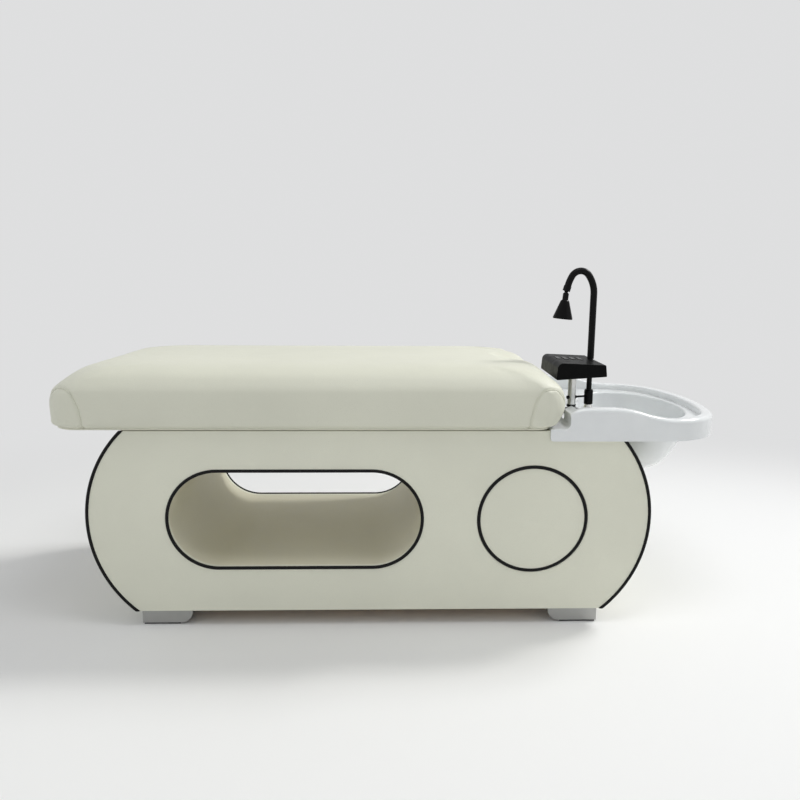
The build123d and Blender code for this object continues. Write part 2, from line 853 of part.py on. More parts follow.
with BuildPart() as mattress_board:
    with BuildSketch(Plane.XY.offset(deck_z)):
        add(board_plan())
    extrude(amount=board_thickness)
    with BuildSketch(Plane.XY.offset(deck_z)):
        with Locations(*mattress_bolt_places):
            Circle(bolt_radius + slip_gap)
    extrude(amount=mattress_bolt_grip, mode=Mode.SUBTRACT)

mattress_board.part.label = "mattress_board"
export_step(mattress_board.part, "parts/mattress_board.step")

# Bolts that hold the mattress board, their heads under the top deck
with BuildPart() as mattress_bolts:
    with BuildSketch(Plane.XY.offset(under_deck_z)):
        with Locations(*mattress_bolt_places):
            Circle(bolt_head_radius)
    extrude(amount=-bolt_head_height)
    with BuildSketch(Plane.XY.offset(under_deck_z)):
        with Locations(*mattress_bolt_places):
            Circle(bolt_radius)
    extrude(amount=board_thickness + mattress_bolt_grip)

mattress_bolts.part.label = "mattress_bolts"
export_step(mattress_bolts.part, "parts/mattress_bolts.step")

# Levels of the mattress from its underside to the crown: share of its height, how far its outline
# is drawn in at the long sides, foot end and head end as shares of the draws, growth of its corners
mattress_shares = (
    (0.0, 0.085, 0.065, 0.147, 0.0),
    (0.018, 0.05, 0.038, 0.109, 0.0),
    (0.06, 0.02, 0.015, 0.07, 0.0),
    (0.143, 0.004, 0.003, 0.035, 0.0),
    (0.375, 0.0, 0.0, 0.0, 0.0),
    (0.613, 0.01, 0.026, 0.024, 0.051),
    (0.702, 0.038, 0.068, 0.056, 0.163),
    (0.78, 0.075, 0.115, 0.103, 0.314),
    (0.845, 0.113, 0.158, 0.148, 0.476),
    (0.899, 0.167, 0.21, 0.212, 0.637),
)
crown_shares = (
    (0.899, 0.167, 0.21, 0.212, 0.637),
    (0.946, 0.26, 0.3, 0.325, 0.796),
    (0.982, 0.473, 0.45, 0.52, 0.929),
    (1.0, 1.0, 1.0, 1.0, 1.0),
)


def mattress_level(share_row):
    """Outline of the mattress at one of its levels."""
    height_share, side_share, left_share, right_share, corner_share = share_row
    end_left = left_x + left_share * end_draw
    end_right = mattress_right_x - right_share * end_draw
    level_width = mattress_width - 2 * side_share * side_draw
    level_corner = corner_low + corner_share * corner_gain
    with BuildSketch(Plane.XY.offset(mattress_z + height_share * mattress_rise)) as outline:
        with Locations(((end_left + end_right) / 2, 0)):
            RectangleRounded(end_right - end_left, level_width, level_corner)
    return outline.sketch


# Mattress: crowned, drawn in at its edges, hollowed for the neck and recessed for its board
with BuildPart() as mattress:
    loft(sections=[mattress_level(row).face() for row in mattress_shares])
    loft(sections=[mattress_level(row).face() for row in crown_shares])
    neck_start_x = mattress_right_x - neck_length
    neck_top_z = mattress_z + mattress_rise
    neck_slope = Vector(neck_length, 0, -neck_drop)
    neck_rise = Vector(neck_drop, 0, neck_length).normalized() * neck_curve
    neck_origin = Vector(neck_start_x, 0, neck_top_z) + neck_rise
    with BuildSketch(Plane(origin=neck_origin, z_dir=neck_slope)):
        Circle(neck_curve)
    extrude(amount=neck_slope.length + neck_length, both=True, mode=Mode.SUBTRACT)
    with BuildSketch(Plane.XY.offset(deck_z)):
        add(board_plan())
    extrude(amount=board_thickness, mode=Mode.SUBTRACT)

mattress.part.label = "mattress"
export_step(mattress.part, "parts/mattress.step")

# Round access cover: domed disc with a ring of piping and four catches on its back
cover_plane = Plane(origin=(cover_x, front_y, axis_z), x_dir=(1, 0, 0), z_dir=(0, 0, 1))
cover_axis = Axis((cover_x, front_y, axis_z), (0, 1, 0))
cover_depth = panel_thickness - rest_gap
cover_back = side_plane(front_y + cover_depth)
catch_circle = cover_radius - catch_inset

with BuildPart() as access_cover:
    with BuildSketch(cover_plane):
        with BuildLine():
            Line((0, cover_depth), (0, -cover_crown))
            TangentArc((0, -cover_crown), (cover_radius, 0), tangent=(1, 0))
            Line((cover_radius, 0), (cover_radius, cover_depth))
            Line((cover_radius, cover_depth), (0, cover_depth))
        make_face()
    revolve(axis=cover_axis)
    add(cover_piping(groove_radius), mode=Mode.SUBTRACT)
    with BuildSketch(cover_back):
        with Locations((cover_x, axis_z)):
            with PolarLocations(catch_circle, catch_count, start_angle=catch_start_angle):
                Circle(catch_radius + slip_gap)
    extrude(amount=catch_grip, mode=Mode.SUBTRACT)

access_cover.part.label = "access_cover"
export_step(access_cover.part, "parts/access_cover.step")

cover_cord = cover_piping(piping_radius)
cover_cord.label = "cover_piping"
export_step(cover_cord, "parts/cover_piping.step")

with BuildPart() as cover_catches:
    with BuildSketch(side_plane(front_y + cover_depth - catch_grip)):
        with Locations((cover_x, axis_z)):
            with PolarLocations(catch_circle, catch_count, start_angle=catch_start_angle):
                Circle(catch_radius)
    extrude(amount=-(catch_grip + catch_length))

cover_catches.part.label = "cover_catches"
export_step(cover_catches.part, "parts/cover_catches.step")

# Seat ring behind the front panel, with holes for the catches
with BuildPart() as cover_seat_ring:
    with BuildSketch(side_plane(front_y + panel_thickness)):
        with Locations((cover_x, axis_z)):
            Circle(seat_radius + ledge_cover)
            Circle(ledge_radius, mode=Mode.SUBTRACT)
            with PolarLocations(catch_circle, catch_count, start_angle=catch_start_angle):
                Circle(catch_radius + running_gap, mode=Mode.SUBTRACT)
    extrude(amount=-ledge_thickness)

cover_seat_ring.part.label = "cover_seat_ring"
export_step(cover_seat_ring.part, "parts/cover_seat_ring.step")

# Drain of the bowl: flange with its neck, nut under the shell, lift-out strainer
neck_bottom_z = bowl_floor_z - drain_neck_length
trap_top_z = bowl_under_z - drain_nut_height

with BuildPart() as drain_flange:
    with BuildSketch(Plane.XY.offset(bowl_floor_z)):
        with Locations((drain_x, 0)):
            Circle(drain_flange_radius)
    extrude(amount=drain_flange_thickness)
    with BuildSketch(Plane.XY.offset(bowl_floor_z)):
        with Locations((drain_x, 0)):
            Circle(drain_neck_radius)
    extrude(amount=-drain_neck_length)
    with BuildSketch(Plane.XY.offset(neck_bottom_z)):
        with Locations((drain_x, 0)):
            Circle(drain_bore_radius)
    extrude(amount=drain_neck_length + drain_flange_thickness, mode=Mode.SUBTRACT)

drain_flange.part.label = "drain_flange"
export_step(drain_flange.part, "parts/drain_flange.step")

with BuildPart() as drain_strainer:
    with BuildSketch(Plane.XY.offset(bowl_floor_z + drain_flange_thickness)):
        with Locations((drain_x, 0)):
            Circle(strainer_radius)
    extrude(amount=strainer_thickness)
    with BuildSketch(Plane.XY.offset(bowl_floor_z + drain_flange_thickness)):
        with Locations((drain_x, 0)):
            Circle(drain_bore_radius - running_gap)
            Circle(drain_bore_radius - running_gap - strainer_wall, mode=Mode.SUBTRACT)
    extrude(amount=-strainer_skirt)
    with BuildSketch(Plane.XY.offset(bowl_floor_z + drain_flange_thickness)):
        with Locations((drain_x, 0)):
            Circle(strainer_hole_radius)
            for ring_radius, ring_count in zip(strainer_ring_radii, strainer_hole_counts):
                with PolarLocations(ring_radius, ring_count):
                    Circle(strainer_hole_radius)
    extrude(amount=strainer_thickness, mode=Mode.SUBTRACT)

drain_strainer.part.label = "drain_strainer"
export_step(drain_strainer.part, "parts/drain_strainer.step")

with BuildPart() as drain_nut:
    with BuildSketch(Plane.XY.offset(bowl_under_z)):
        with Locations((drain_x, 0)):
            Circle(drain_nut_radius)
            Circle(drain_neck_radius + slip_gap, mode=Mode.SUBTRACT)
    extrude(amount=-drain_nut_height)

drain_nut.part.label = "drain_nut"
export_step(drain_nut.part, "parts/drain_nut.step")

# Bottle trap under the nut, with a side outlet for the drain pipe
pipe_z = trap_top_z - trap_outlet_drop
boss_end_x = drain_x - trap_radius - trap_boss_length

with BuildPart() as drain_trap:
    with BuildSketch(Plane.XY.offset(trap_top_z)):
        with Locations((drain_x, 0)):
            Circle(trap_radius)
    extrude(amount=-trap_height)
    with BuildSketch(Plane.YZ.offset(boss_end_x)):
        with Locations((0, pipe_z)):
            Circle(trap_boss_radius)
    extrude(amount=trap_radius + trap_boss_length)
    with BuildSketch(Plane.XY.offset(trap_top_z - trap_wall)):
        with Locations((drain_x, 0)):
            Circle(trap_radius - trap_wall)
    extrude(amount=-(trap_height - 2 * trap_wall), mode=Mode.SUBTRACT)
    with BuildSketch(Plane.XY.offset(trap_top_z)):
        with Locations((drain_x, 0)):
            Circle(drain_neck_radius + slip_gap)
    extrude(amount=-(2 * trap_wall), mode=Mode.SUBTRACT)
    with BuildSketch(Plane.YZ.offset(boss_end_x)):
        with Locations((0, pipe_z)):
            Circle(pipe_radius + slip_gap)
    extrude(amount=trap_radius + trap_boss_length, mode=Mode.SUBTRACT)

drain_trap.part.label = "drain_trap"
export_step(drain_trap.part, "parts/drain_trap.step")

# Drain pipe: from the trap down through the bottom board, ending in a stub
with BuildPart() as drain_pipe:
    with BuildLine(Plane.XZ) as pipe_path:
        FilletPolyline(
            (drain_x - trap_radius + trap_wall / 2, pipe_z),
            (pipe_x, pipe_z),
            (pipe_x, bottom_z - pipe_stub),
            radius=pipe_bend,
        )
    with BuildSketch(Plane(origin=pipe_path.line @ 0, z_dir=pipe_path.line % 0)):
        Circle(pipe_radius)
        Circle(pipe_radius - pipe_wall, mode=Mode.SUBTRACT)
    sweep(path=pipe_path.line)
    with BuildSketch(Plane.YZ.offset(boss_end_x)):
        with Locations((0, pipe_z)):
            Circle(trap_boss_radius)
            Circle(pipe_radius - pipe_wall / 2, mode=Mode.SUBTRACT)
    extrude(amount=-pipe_collar)
    with BuildSketch(Plane.XY.offset(bottom_z - pipe_stub)):
        with Locations((pipe_x, 0)):
            Circle(outlet_radius)
            Circle(pipe_radius - pipe_wall / 2, mode=Mode.SUBTRACT)
    extrude(amount=outlet_length)

drain_pipe.part.label = "drain_pipe"
export_step(drain_pipe.part, "parts/drain_pipe.step")

# Water inlets through the bottom board, and a hose from each to the foot of the spout
inlet_top_z = floor_z + inlet_top
shank_bottom_z = basin_deck_z - spout_shank_length
hose_routes = {
    "hot": (hot_rise, hot_drop, spout_y - tail_spacing / 2),
    "cold": (cold_rise, cold_drop, spout_y + tail_spacing / 2),
}
for supply_name, (supply_x, supply_y) in inlet_places.items():
    with BuildPart() as inlet:
        with BuildSketch(Plane.XY.offset(bottom_z - inlet_stub)):
            with Locations((supply_x, supply_y)):
                Circle(inlet_radius)
        extrude(amount=inlet_thread)
        with BuildSketch(Plane.XY.offset(bottom_z - inlet_stub + inlet_thread)):
            with Locations((supply_x, supply_y)):
                Circle(inlet_relief_radius)
        extrude(amount=inlet_relief)
        with BuildSketch(Plane.XY.offset(inlet_top_z)):
            with Locations((supply_x, supply_y)):
                Circle(inlet_body_radius)
        extrude(amount=-(inlet_top_z - bottom_z + inlet_stub - inlet_thread - inlet_relief))
        with BuildSketch(Plane.XY.offset(floor_z)):
            with Locations((supply_x, supply_y)):
                Circle(inlet_nut_radius)
        extrude(amount=inlet_nut_height)
        with BuildSketch(Plane.XY.offset(bottom_z - inlet_stub)):
            with Locations((supply_x, supply_y)):
                Circle(inlet_bore)
        extrude(amount=inlet_top_z - bottom_z + inlet_stub, mode=Mode.SUBTRACT)
    inlet.part.label = f"{supply_name}_inlet"
    export_step(inlet.part, f"parts/{supply_name}_inlet.step")

    rise, drop, tail_y = hose_routes[supply_name]
    with BuildPart() as hose:
        with BuildLine() as hose_path:
            FilletPolyline(
                (supply_x, supply_y, inlet_top_z),
                (supply_x, supply_y, inlet_top_z + rise),
                (spout_x, tail_y, shank_bottom_z - drop),
                (spout_x, tail_y, shank_bottom_z),
                radius=hose_bend,
            )
        with BuildSketch(Plane.XY.offset(inlet_top_z)):
            with Locations((supply_x, supply_y)):
                Circle(hose_radius)
                Circle(hose_bore, mode=Mode.SUBTRACT)
        sweep(path=hose_path.line)
        with BuildSketch(Plane.XY.offset(inlet_top_z)):
            with Locations((supply_x, supply_y)):
                Circle(inlet_body_radius)
                Circle((hose_radius + hose_bore) / 2, mode=Mode.SUBTRACT)
        extrude(amount=ferrule_height)
    hose.part.label = f"{supply_name}_hose"
    export_step(hose.part, f"parts/{supply_name}_hose.step")

# Post beside the spout: flange on the deck, tube with a plugged foot, band and bolt from below
post_top_z = console_z + post_seat_rise
link_z = basin_deck_z + link_rise
link_length = hypot(spout_x - post_x, spout_y - post_y)
link_way = Vector(spout_x - post_x, spout_y - post_y, 0)
link_plane = Plane(origin=(post_x, post_y, link_z), z_dir=link_way)

with BuildPart() as post_flange:
    with BuildSketch(Plane.XY.offset(basin_deck_z)):
        with Locations((post_x, post_y)):
            Circle(post_flange_radius)
            Circle(post_radius + slip_gap, mode=Mode.SUBTRACT)
    extrude(amount=post_flange_height)
    fillet(
        post_flange.edges().group_by(Axis.Z)[-1].sort_by(SortBy.LENGTH)[-1],
        radius=post_flange_edge,
    )

post_flange.part.label = "post_flange"
export_step(post_flange.part, "parts/post_flange.step")

with BuildPart() as console_post:
    with BuildSketch(Plane.XY.offset(basin_deck_z)):
        with Locations((post_x, post_y)):
            Circle(post_radius)
    extrude(amount=post_top_z - basin_deck_z)
    with BuildSketch(Plane.XY.offset(basin_deck_z + post_plug)):
        with Locations((post_x, post_y)):
            Circle(post_radius - post_wall)
    extrude(amount=post_top_z - basin_deck_z, mode=Mode.SUBTRACT)
    with BuildSketch(Plane.XY.offset(basin_deck_z)):
        with Locations((post_x, post_y)):
            Circle(post_bolt_radius + slip_gap)
    extrude(amount=post_plug, mode=Mode.SUBTRACT)
    with BuildSketch(link_plane):
        Circle(link_radius + slip_gap)
    extrude(amount=post_radius + overrun, both=True, mode=Mode.SUBTRACT)

console_post.part.label = "console_post"
export_step(console_post.part, "parts/console_post.step")

with BuildPart() as post_band:
    with BuildSketch(Plane.XY.offset(basin_deck_z + post_band_rise)):
        with Locations((post_x, post_y)):
            Circle(post_band_radius)
            Circle(post_radius + slip_gap, mode=Mode.SUBTRACT)
    extrude(amount=post_band_height)

post_band.part.label = "post_band"
export_step(post_band.part, "parts/post_band.step")

with BuildPart() as post_bolt:
    with BuildSketch(Plane.XY.offset(basin_under_z)):
        with Locations((post_x, post_y)):
            Circle(post_bolt_head_radius)
    extrude(amount=-post_bolt_head_height)
    with BuildSketch(Plane.XY.offset(basin_under_z)):
        with Locations((post_x, post_y)):
            Circle(post_bolt_radius)
    extrude(amount=basin_wall + post_plug)

post_bolt.part.label = "post_bolt"
export_step(post_bolt.part, "parts/post_bolt.step")

# Bar that ties the spout fitting to the post: head, shank through the post and cone
with BuildPart() as link_bar:
    with BuildSketch(link_plane.offset(-post_radius - link_head_length)):
        Circle(link_head_radius)
    extrude(amount=link_head_length)
    with BuildSketch(link_plane.offset(-post_radius)):
        Circle(link_radius)
    extrude(amount=post_radius + link_length - fitting_radius + link_sink)
    with BuildSketch(link_plane.offset(post_radius)):
        Circle(link_cone_radius)
    with BuildSketch(link_plane.offset(post_radius + link_cone_length)):
        Circle(link_radius)
    loft()

link_bar.part.label = "link_bar"
export_step(link_bar.part, "parts/link_bar.step")

# Spout base: cone on the deck, shank through it with two water ways from the hoses
with BuildPart() as spout_base:
    with BuildSketch(Plane.XY.offset(basin_deck_z)):
        with Locations((spout_x, spout_y)):
            Circle(spout_base_radius)
    extrude(amount=spout_base_foot)
    with BuildSketch(Plane.XY.offset(basin_deck_z + spout_base_foot)):
        with Locations((spout_x, spout_y)):
            Circle(spout_base_radius)
    with BuildSketch(Plane.XY.offset(basin_deck_z + spout_base_height)):
        with Locations((spout_x, spout_y)):
            Circle(spout_base_top_radius)
    loft()
    with BuildSketch(Plane.XY.offset(basin_deck_z)):
        with Locations((spout_x, spout_y)):
            Circle(spout_shank_radius)
    extrude(amount=-spout_shank_length)
    with BuildSketch(Plane.XY.offset(basin_deck_z + spout_base_height)):
        with Locations((spout_x, spout_y)):
            Circle(chamber_radius)
    extrude(amount=-chamber_depth, mode=Mode.SUBTRACT)
    with BuildSketch(Plane.XY.offset(shank_bottom_z)):
        with Locations((spout_x, spout_y)):
            with GridLocations(spout_shank_radius, tail_spacing, 1, 2):
                Circle(hose_bore)
    extrude(
        amount=spout_shank_length + spout_base_height - chamber_depth + hose_bore,
        mode=Mode.SUBTRACT,
    )

spout_base.part.label = "spout_base"
export_step(spout_base.part, "parts/spout_base.step")

with BuildPart() as spout_nut:
    with BuildSketch(Plane.XY.offset(basin_under_z)):
        with Locations((spout_x, spout_y)):
            Circle(spout_nut_radius)
            Circle(spout_shank_radius + slip_gap, mode=Mode.SUBTRACT)
    extrude(amount=-spout_nut_height)

spout_nut.part.label = "spout_nut"
export_step(spout_nut.part, "parts/spout_nut.step")

# Union fitting on the base: socket for the riser on top, blind hole for the bar at its side
fitting_z = basin_deck_z + spout_base_height
fitting_top_z = fitting_z + fitting_height
riser_z = fitting_top_z - fitting_socket

with BuildPart() as spout_fitting:
    with BuildSketch(Plane.XY.offset(fitting_z)):
        with Locations((spout_x, spout_y)):
            Circle(fitting_radius)
    extrude(amount=fitting_height)
    chamfer(
        spout_fitting.edges().group_by(Axis.Z)[-1],
        length=fitting_chamfer,
        length2=fitting_radius - fitting_top_radius,
    )
    with BuildSketch(Plane.XY.offset(fitting_z)):
        with Locations((spout_x, spout_y)):
            Circle(fitting_bore)
    extrude(amount=fitting_height, mode=Mode.SUBTRACT)
    with BuildSketch(Plane.XY.offset(riser_z)):
        with Locations((spout_x, spout_y)):
            Circle(riser_radius + running_gap)
    extrude(amount=fitting_socket, mode=Mode.SUBTRACT)
    with BuildSketch(link_plane.offset(link_length - fitting_radius + link_sink)):
        Circle(link_radius + slip_gap)
    extrude(amount=-fitting_radius, mode=Mode.SUBTRACT)

spout_fitting.part.label = "spout_fitting"
export_step(spout_fitting.part, "parts/spout_fitting.step")

# Riser tube: turns in the fitting and carries the swan neck
neck_start_z = console_z + neck_start_rise
riser_top_z = neck_start_z + neck_overlap

with BuildPart() as riser_tube:
    with BuildSketch(Plane.XY.offset(riser_z)):
        with Locations((spout_x, spout_y)):
            Circle(riser_radius)
            Circle(riser_bore, mode=Mode.SUBTRACT)
    extrude(amount=riser_top_z - riser_z)

riser_tube.part.label = "riser_tube"
export_step(riser_tube.part, "parts/riser_tube.step")

# Swan neck: upright, a wide arc, a tight top and a gentle fall towards the collar
spring_z = basin_deck_z + arch_spring
side_centre_x = spout_x - side_arc_radius
apex_centre_rise = sqrt((side_arc_radius - apex_arc_radius) ** 2 - apex_centre_run**2)
apex_centre = (side_centre_x + apex_centre_run, spring_z + apex_centre_rise)
side_turn = degrees(atan2(apex_centre_rise, apex_centre_run))
apex_turn = half_turn - fall_start_angle - side_turn
fall_turn = fall_start_angle - fall_end_angle
fall_reach = fall_arc_radius - apex_arc_radius
fall_centre = (
    apex_centre[0] + fall_reach * cos(radians(fall_start_angle)),
    apex_centre[1] - fall_reach * sin(radians(fall_start_angle)),
)

with BuildPart() as gooseneck:
    with BuildLine(side_plane(spout_y)) as neck_path:
        Line((spout_x, neck_start_z), (spout_x, spring_z))
        CenterArc((side_centre_x, spring_z), side_arc_radius, 0, side_turn)
        CenterArc(apex_centre, apex_arc_radius, side_turn, apex_turn)
        fall = CenterArc(fall_centre, fall_arc_radius, side_turn + apex_turn, fall_turn)
        Line(fall @ 1, fall @ 1 + (fall % 1) * fall_straight)
    with BuildSketch(Plane.XY.offset(neck_start_z)):
        with Locations((spout_x, spout_y)):
            Circle(neck_radius)
            Circle(riser_radius + running_gap, mode=Mode.SUBTRACT)
    sweep(path=neck_path.line)

gooseneck.part.label = "gooseneck"
export_step(gooseneck.part, "parts/gooseneck.step")

# Collar at the end of the swan neck, hollowed for the ball of the bell
collar_plane = Plane(origin=neck_path.line @ 1, z_dir=neck_path.line % 1)
ball_plane = collar_plane.offset(ball_depth)

with BuildPart() as spout_collar:
    with BuildSketch(collar_plane):
        Circle(collar_radius)
    extrude(amount=collar_length)
    with Locations(ball_plane):
        Sphere(ball_radius + running_gap, mode=Mode.SUBTRACT)

spout_collar.part.label = "spout_collar"
export_step(spout_collar.part, "parts/spout_collar.step")

# Neck of the bell: ball in the collar, thin stem, then the neck down to the bell
bell_way = Vector(-sin(radians(bell_tilt)), 0, -cos(radians(bell_tilt)))
bell_plane = Plane(origin=ball_plane.origin, z_dir=bell_way)
bell_axis = Axis(ball_plane.origin, bell_way)

with BuildPart() as bell_neck:
    with Locations(bell_plane):
        Sphere(ball_radius)
    with BuildSketch(bell_plane):
        Circle(stem_radius)
    extrude(amount=bell_neck_length)
    with BuildSketch(bell_plane.offset(stem_length)):
        Circle(bell_neck_radius - bell_neck_step)
    extrude(amount=bell_neck_length - stem_length)
    with BuildSketch(bell_plane.offset(stem_length + bell_neck_step)):
        Circle(bell_neck_radius)
    extrude(amount=bell_neck_length - stem_length - bell_neck_step)
    with BuildSketch(bell_plane.offset(-ball_radius)):
        Circle(stem_bore)
    extrude(amount=ball_radius + bell_neck_length, mode=Mode.SUBTRACT)

bell_neck.part.label = "bell_neck"
export_step(bell_neck.part, "parts/bell_neck.step")

# Bell: a cone with thin walls, rounded at its top, stepped inside for the spray plate
bell_sketch = Plane(
    origin=ball_plane.origin,
    x_dir=(cos(radians(bell_tilt)), 0, -sin(radians(bell_tilt))),
    z_dir=(0, -1, 0),
)
bell_mouth_run = bell_neck_length + bell_height
seat_run = bell_mouth_run - spray_recess - spray_thickness

with BuildPart() as shower_bell:
    with BuildSketch(bell_sketch):
        with BuildLine():
            Polyline(
                (stem_bore, -bell_neck_length),
                (bell_top_radius - bell_edge, -bell_neck_length),
                (bell_top_radius, -bell_neck_length - bell_edge),
                (bell_mouth_radius, -bell_mouth_run + bell_edge),
                (bell_mouth_radius - bell_edge / 2, -bell_mouth_run),
                (bell_seat_radius, -bell_mouth_run),
                (bell_seat_radius, -seat_run),
                (bell_seat_radius - bell_wall, -seat_run),
                (bell_top_radius - bell_wall, -bell_neck_length - bell_edge - bell_wall),
                (stem_bore, -bell_neck_length - bell_edge - bell_wall),
                close=True,
            )
        make_face()
    revolve(axis=bell_axis)

shower_bell.part.label = "shower_bell"
export_step(shower_bell.part, "parts/shower_bell.step")

with BuildPart() as spray_plate:
    with BuildSketch(bell_plane.offset(seat_run)):
        Circle(bell_seat_radius - slip_gap)
        Circle(spray_hole_radius, mode=Mode.SUBTRACT)
        for ring_radius, ring_count in zip(spray_ring_radii, spray_hole_counts):
            with PolarLocations(ring_radius, ring_count):
                Circle(spray_hole_radius, mode=Mode.SUBTRACT)
    extrude(amount=spray_thickness)

spray_plate.part.label = "spray_plate"
export_step(spray_plate.part, "parts/spray_plate.step")

# Console: lower shell on the post, top with wells, four long keys
console_way = (cos(radians(console_turn)), sin(radians(console_turn)), 0)
console_plane = Plane(
    origin=(console_left_x, console_front_y, console_z),
    x_dir=console_way,
    z_dir=(console_way[1], -console_way[0], 0),
)
console_floor = Plane(
    origin=(console_left_x, console_front_y, console_z), x_dir=console_way, z_dir=(0, 0, 1)
)
console_right_top = console_slope + console_right_height
top_left = (console_left_lean, console_left_height)
top_right = (console_front - console_right_lean, console_right_top)
top_fall = (top_left[1] - top_right[1]) / (top_right[0] - top_left[0])


def console_top_rise(run, drop):
    """Height above the console's corner of a line drop below its top, at a run from its left."""
    return console_left_height - drop - top_fall * (run - console_left_lean)


def console_section():
    """Front view of the console: sloping bottom, leaning ends, a large round at the upper left."""
    with BuildSketch() as outline:
        with BuildLine():
            Polyline((0, 0), (console_front, console_slope), top_right, top_left, close=True)
        make_face()
        corners = outline.vertices().sort_by(Axis.X)
        fillet([corners[1]], radius=console_top_radius)
        rest = [v for v in outline.vertices() if v.X > console_front / 2 or v.Y < console_edge]
        fillet(rest, radius=console_edge)
    return outline.sketch_local


def console_band(low_drop, high_drop):
    """Front view of the layer between two lines below the console's top."""
    end_run = console_front + overrun
    with BuildSketch() as outline:
        with BuildLine():
            Polyline(
                (-overrun, console_top_rise(-overrun, low_drop)),
                (end_run, console_top_rise(end_run, low_drop)),
                (end_run, console_top_rise(end_run, high_drop)),
                (-overrun, console_top_rise(-overrun, high_drop)),
                close=True,
            )
        make_face()
    return outline.sketch_local


with BuildPart() as console_shell:
    with BuildSketch(console_plane):
        add(console_section())
    extrude(amount=-console_depth)
    with BuildSketch(console_plane.offset(-console_wall)):
        offset(console_section(), amount=-console_wall)
    extrude(amount=-(console_depth - 2 * console_wall), mode=Mode.SUBTRACT)
    with BuildSketch(Plane.XY.offset(console_z + boss_height)):
        with Locations((post_x, post_y)):
            Circle(boss_radius)
    extrude(amount=-boss_height + console_slope / 2 + console_wall)
    with BuildSketch(Plane.XY.offset(post_top_z)):
        with Locations((post_x, post_y)):
            Circle(post_radius + slip_gap)
    extrude(amount=-(post_top_z - console_z + overrun), mode=Mode.SUBTRACT)
    with BuildSketch(Plane.XY.offset(console_z - overrun)):
        with Locations((spout_x, spout_y)):
            Circle(riser_hole_radius)
    extrude(amount=console_left_height + 2 * overrun, mode=Mode.SUBTRACT)
    with BuildSketch(console_plane.offset(overrun)):
        add(console_band(console_lid, -overrun))
    extrude(amount=-(console_depth + 2 * overrun), mode=Mode.SUBTRACT)

console_shell.part.label = "console_shell"
export_step(console_shell.part, "parts/console_shell.step")

key_runs = [key_first_run + index * key_pitch for index in range(key_count)]
key_centre_run = key_front_run + key_length / 2

with BuildPart() as console_top:
    with BuildSketch(console_plane):
        add(console_section())
    extrude(amount=-console_depth)
    with BuildSketch(console_plane):
        add(console_band(console_lid, -overrun))
    extrude(amount=-console_depth, mode=Mode.INTERSECT)
    with BuildSketch(console_floor):
        with Locations(*[(run, key_centre_run) for run in key_runs]):
            Rectangle(key_width + 2 * key_gap, key_length + 2 * key_gap)
    extrude(amount=console_left_height + overrun, mode=Mode.SUBTRACT)
    with BuildSketch(Plane.XY.offset(console_z)):
        with Locations((spout_x, spout_y)):
            Circle(riser_hole_radius)
    extrude(amount=console_left_height + overrun, mode=Mode.SUBTRACT)

console_top.part.label = "console_top"
export_step(console_top.part, "parts/console_top.step")

def key_bar(run, grow, low_drop, high_drop):
    """Bar at a run along the console, grown all round, between two lines below the top."""
    with BuildPart() as bar:
        with BuildSketch(console_floor):
            with Locations((run, key_centre_run)):
                Rectangle(key_width + 2 * grow, key_length + 2 * grow)
        extrude(amount=console_left_height + overrun)
        with BuildSketch(console_plane):
            add(console_band(low_drop, high_drop))
        extrude(amount=-console_depth, mode=Mode.INTERSECT)
    return bar.part


# Keys: each a bar in its well, held under the top by a ledge all round
ledge_top_drop = console_lid + rest_gap
for key_index, key_run in enumerate(key_runs):
    with BuildPart() as console_key:
        add(key_bar(key_run, 0, ledge_top_drop, -key_rise))
        add(key_bar(key_run, key_gap + key_ledge, ledge_top_drop + key_ledge, ledge_top_drop))
    console_key.part.label = f"console_key_{key_index + 1}"
    export_step(console_key.part, f"parts/console_key_{key_index + 1}.step")
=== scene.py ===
"""Looks of the hair washing bed: camera, stage, lamps, surfaces, mattress with its seams."""
import json
from math import cos, pi, radians, sin

import bmesh
import bpy
import numpy as np
from mathutils import Matrix, Vector
from mathutils.bvhtree import BVHTree


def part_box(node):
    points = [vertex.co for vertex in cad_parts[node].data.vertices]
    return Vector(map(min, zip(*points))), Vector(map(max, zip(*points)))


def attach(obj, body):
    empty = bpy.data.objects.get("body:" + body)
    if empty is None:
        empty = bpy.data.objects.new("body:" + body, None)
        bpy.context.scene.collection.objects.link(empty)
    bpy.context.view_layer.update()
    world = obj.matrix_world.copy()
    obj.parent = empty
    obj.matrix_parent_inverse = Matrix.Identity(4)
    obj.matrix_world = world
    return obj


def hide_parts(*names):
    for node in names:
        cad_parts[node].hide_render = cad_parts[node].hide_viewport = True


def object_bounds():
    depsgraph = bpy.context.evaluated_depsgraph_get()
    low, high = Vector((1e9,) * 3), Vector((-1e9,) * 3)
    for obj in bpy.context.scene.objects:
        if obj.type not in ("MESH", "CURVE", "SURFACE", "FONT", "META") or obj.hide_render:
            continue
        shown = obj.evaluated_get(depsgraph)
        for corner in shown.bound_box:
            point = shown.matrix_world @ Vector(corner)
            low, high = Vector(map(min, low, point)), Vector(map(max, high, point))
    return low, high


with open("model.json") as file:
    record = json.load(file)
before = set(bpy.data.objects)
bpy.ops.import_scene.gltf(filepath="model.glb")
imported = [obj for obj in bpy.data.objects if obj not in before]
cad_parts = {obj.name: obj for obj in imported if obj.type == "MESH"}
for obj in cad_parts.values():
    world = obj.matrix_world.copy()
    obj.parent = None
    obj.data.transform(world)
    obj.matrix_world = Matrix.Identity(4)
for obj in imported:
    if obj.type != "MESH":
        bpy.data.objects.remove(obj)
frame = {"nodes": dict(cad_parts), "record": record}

cad_low, cad_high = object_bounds()
scene = bpy.context.scene


def linked(name, data):
    """New object, linked to the scene."""
    made = bpy.data.objects.new(name, data)
    scene.collection.objects.link(made)
    return made


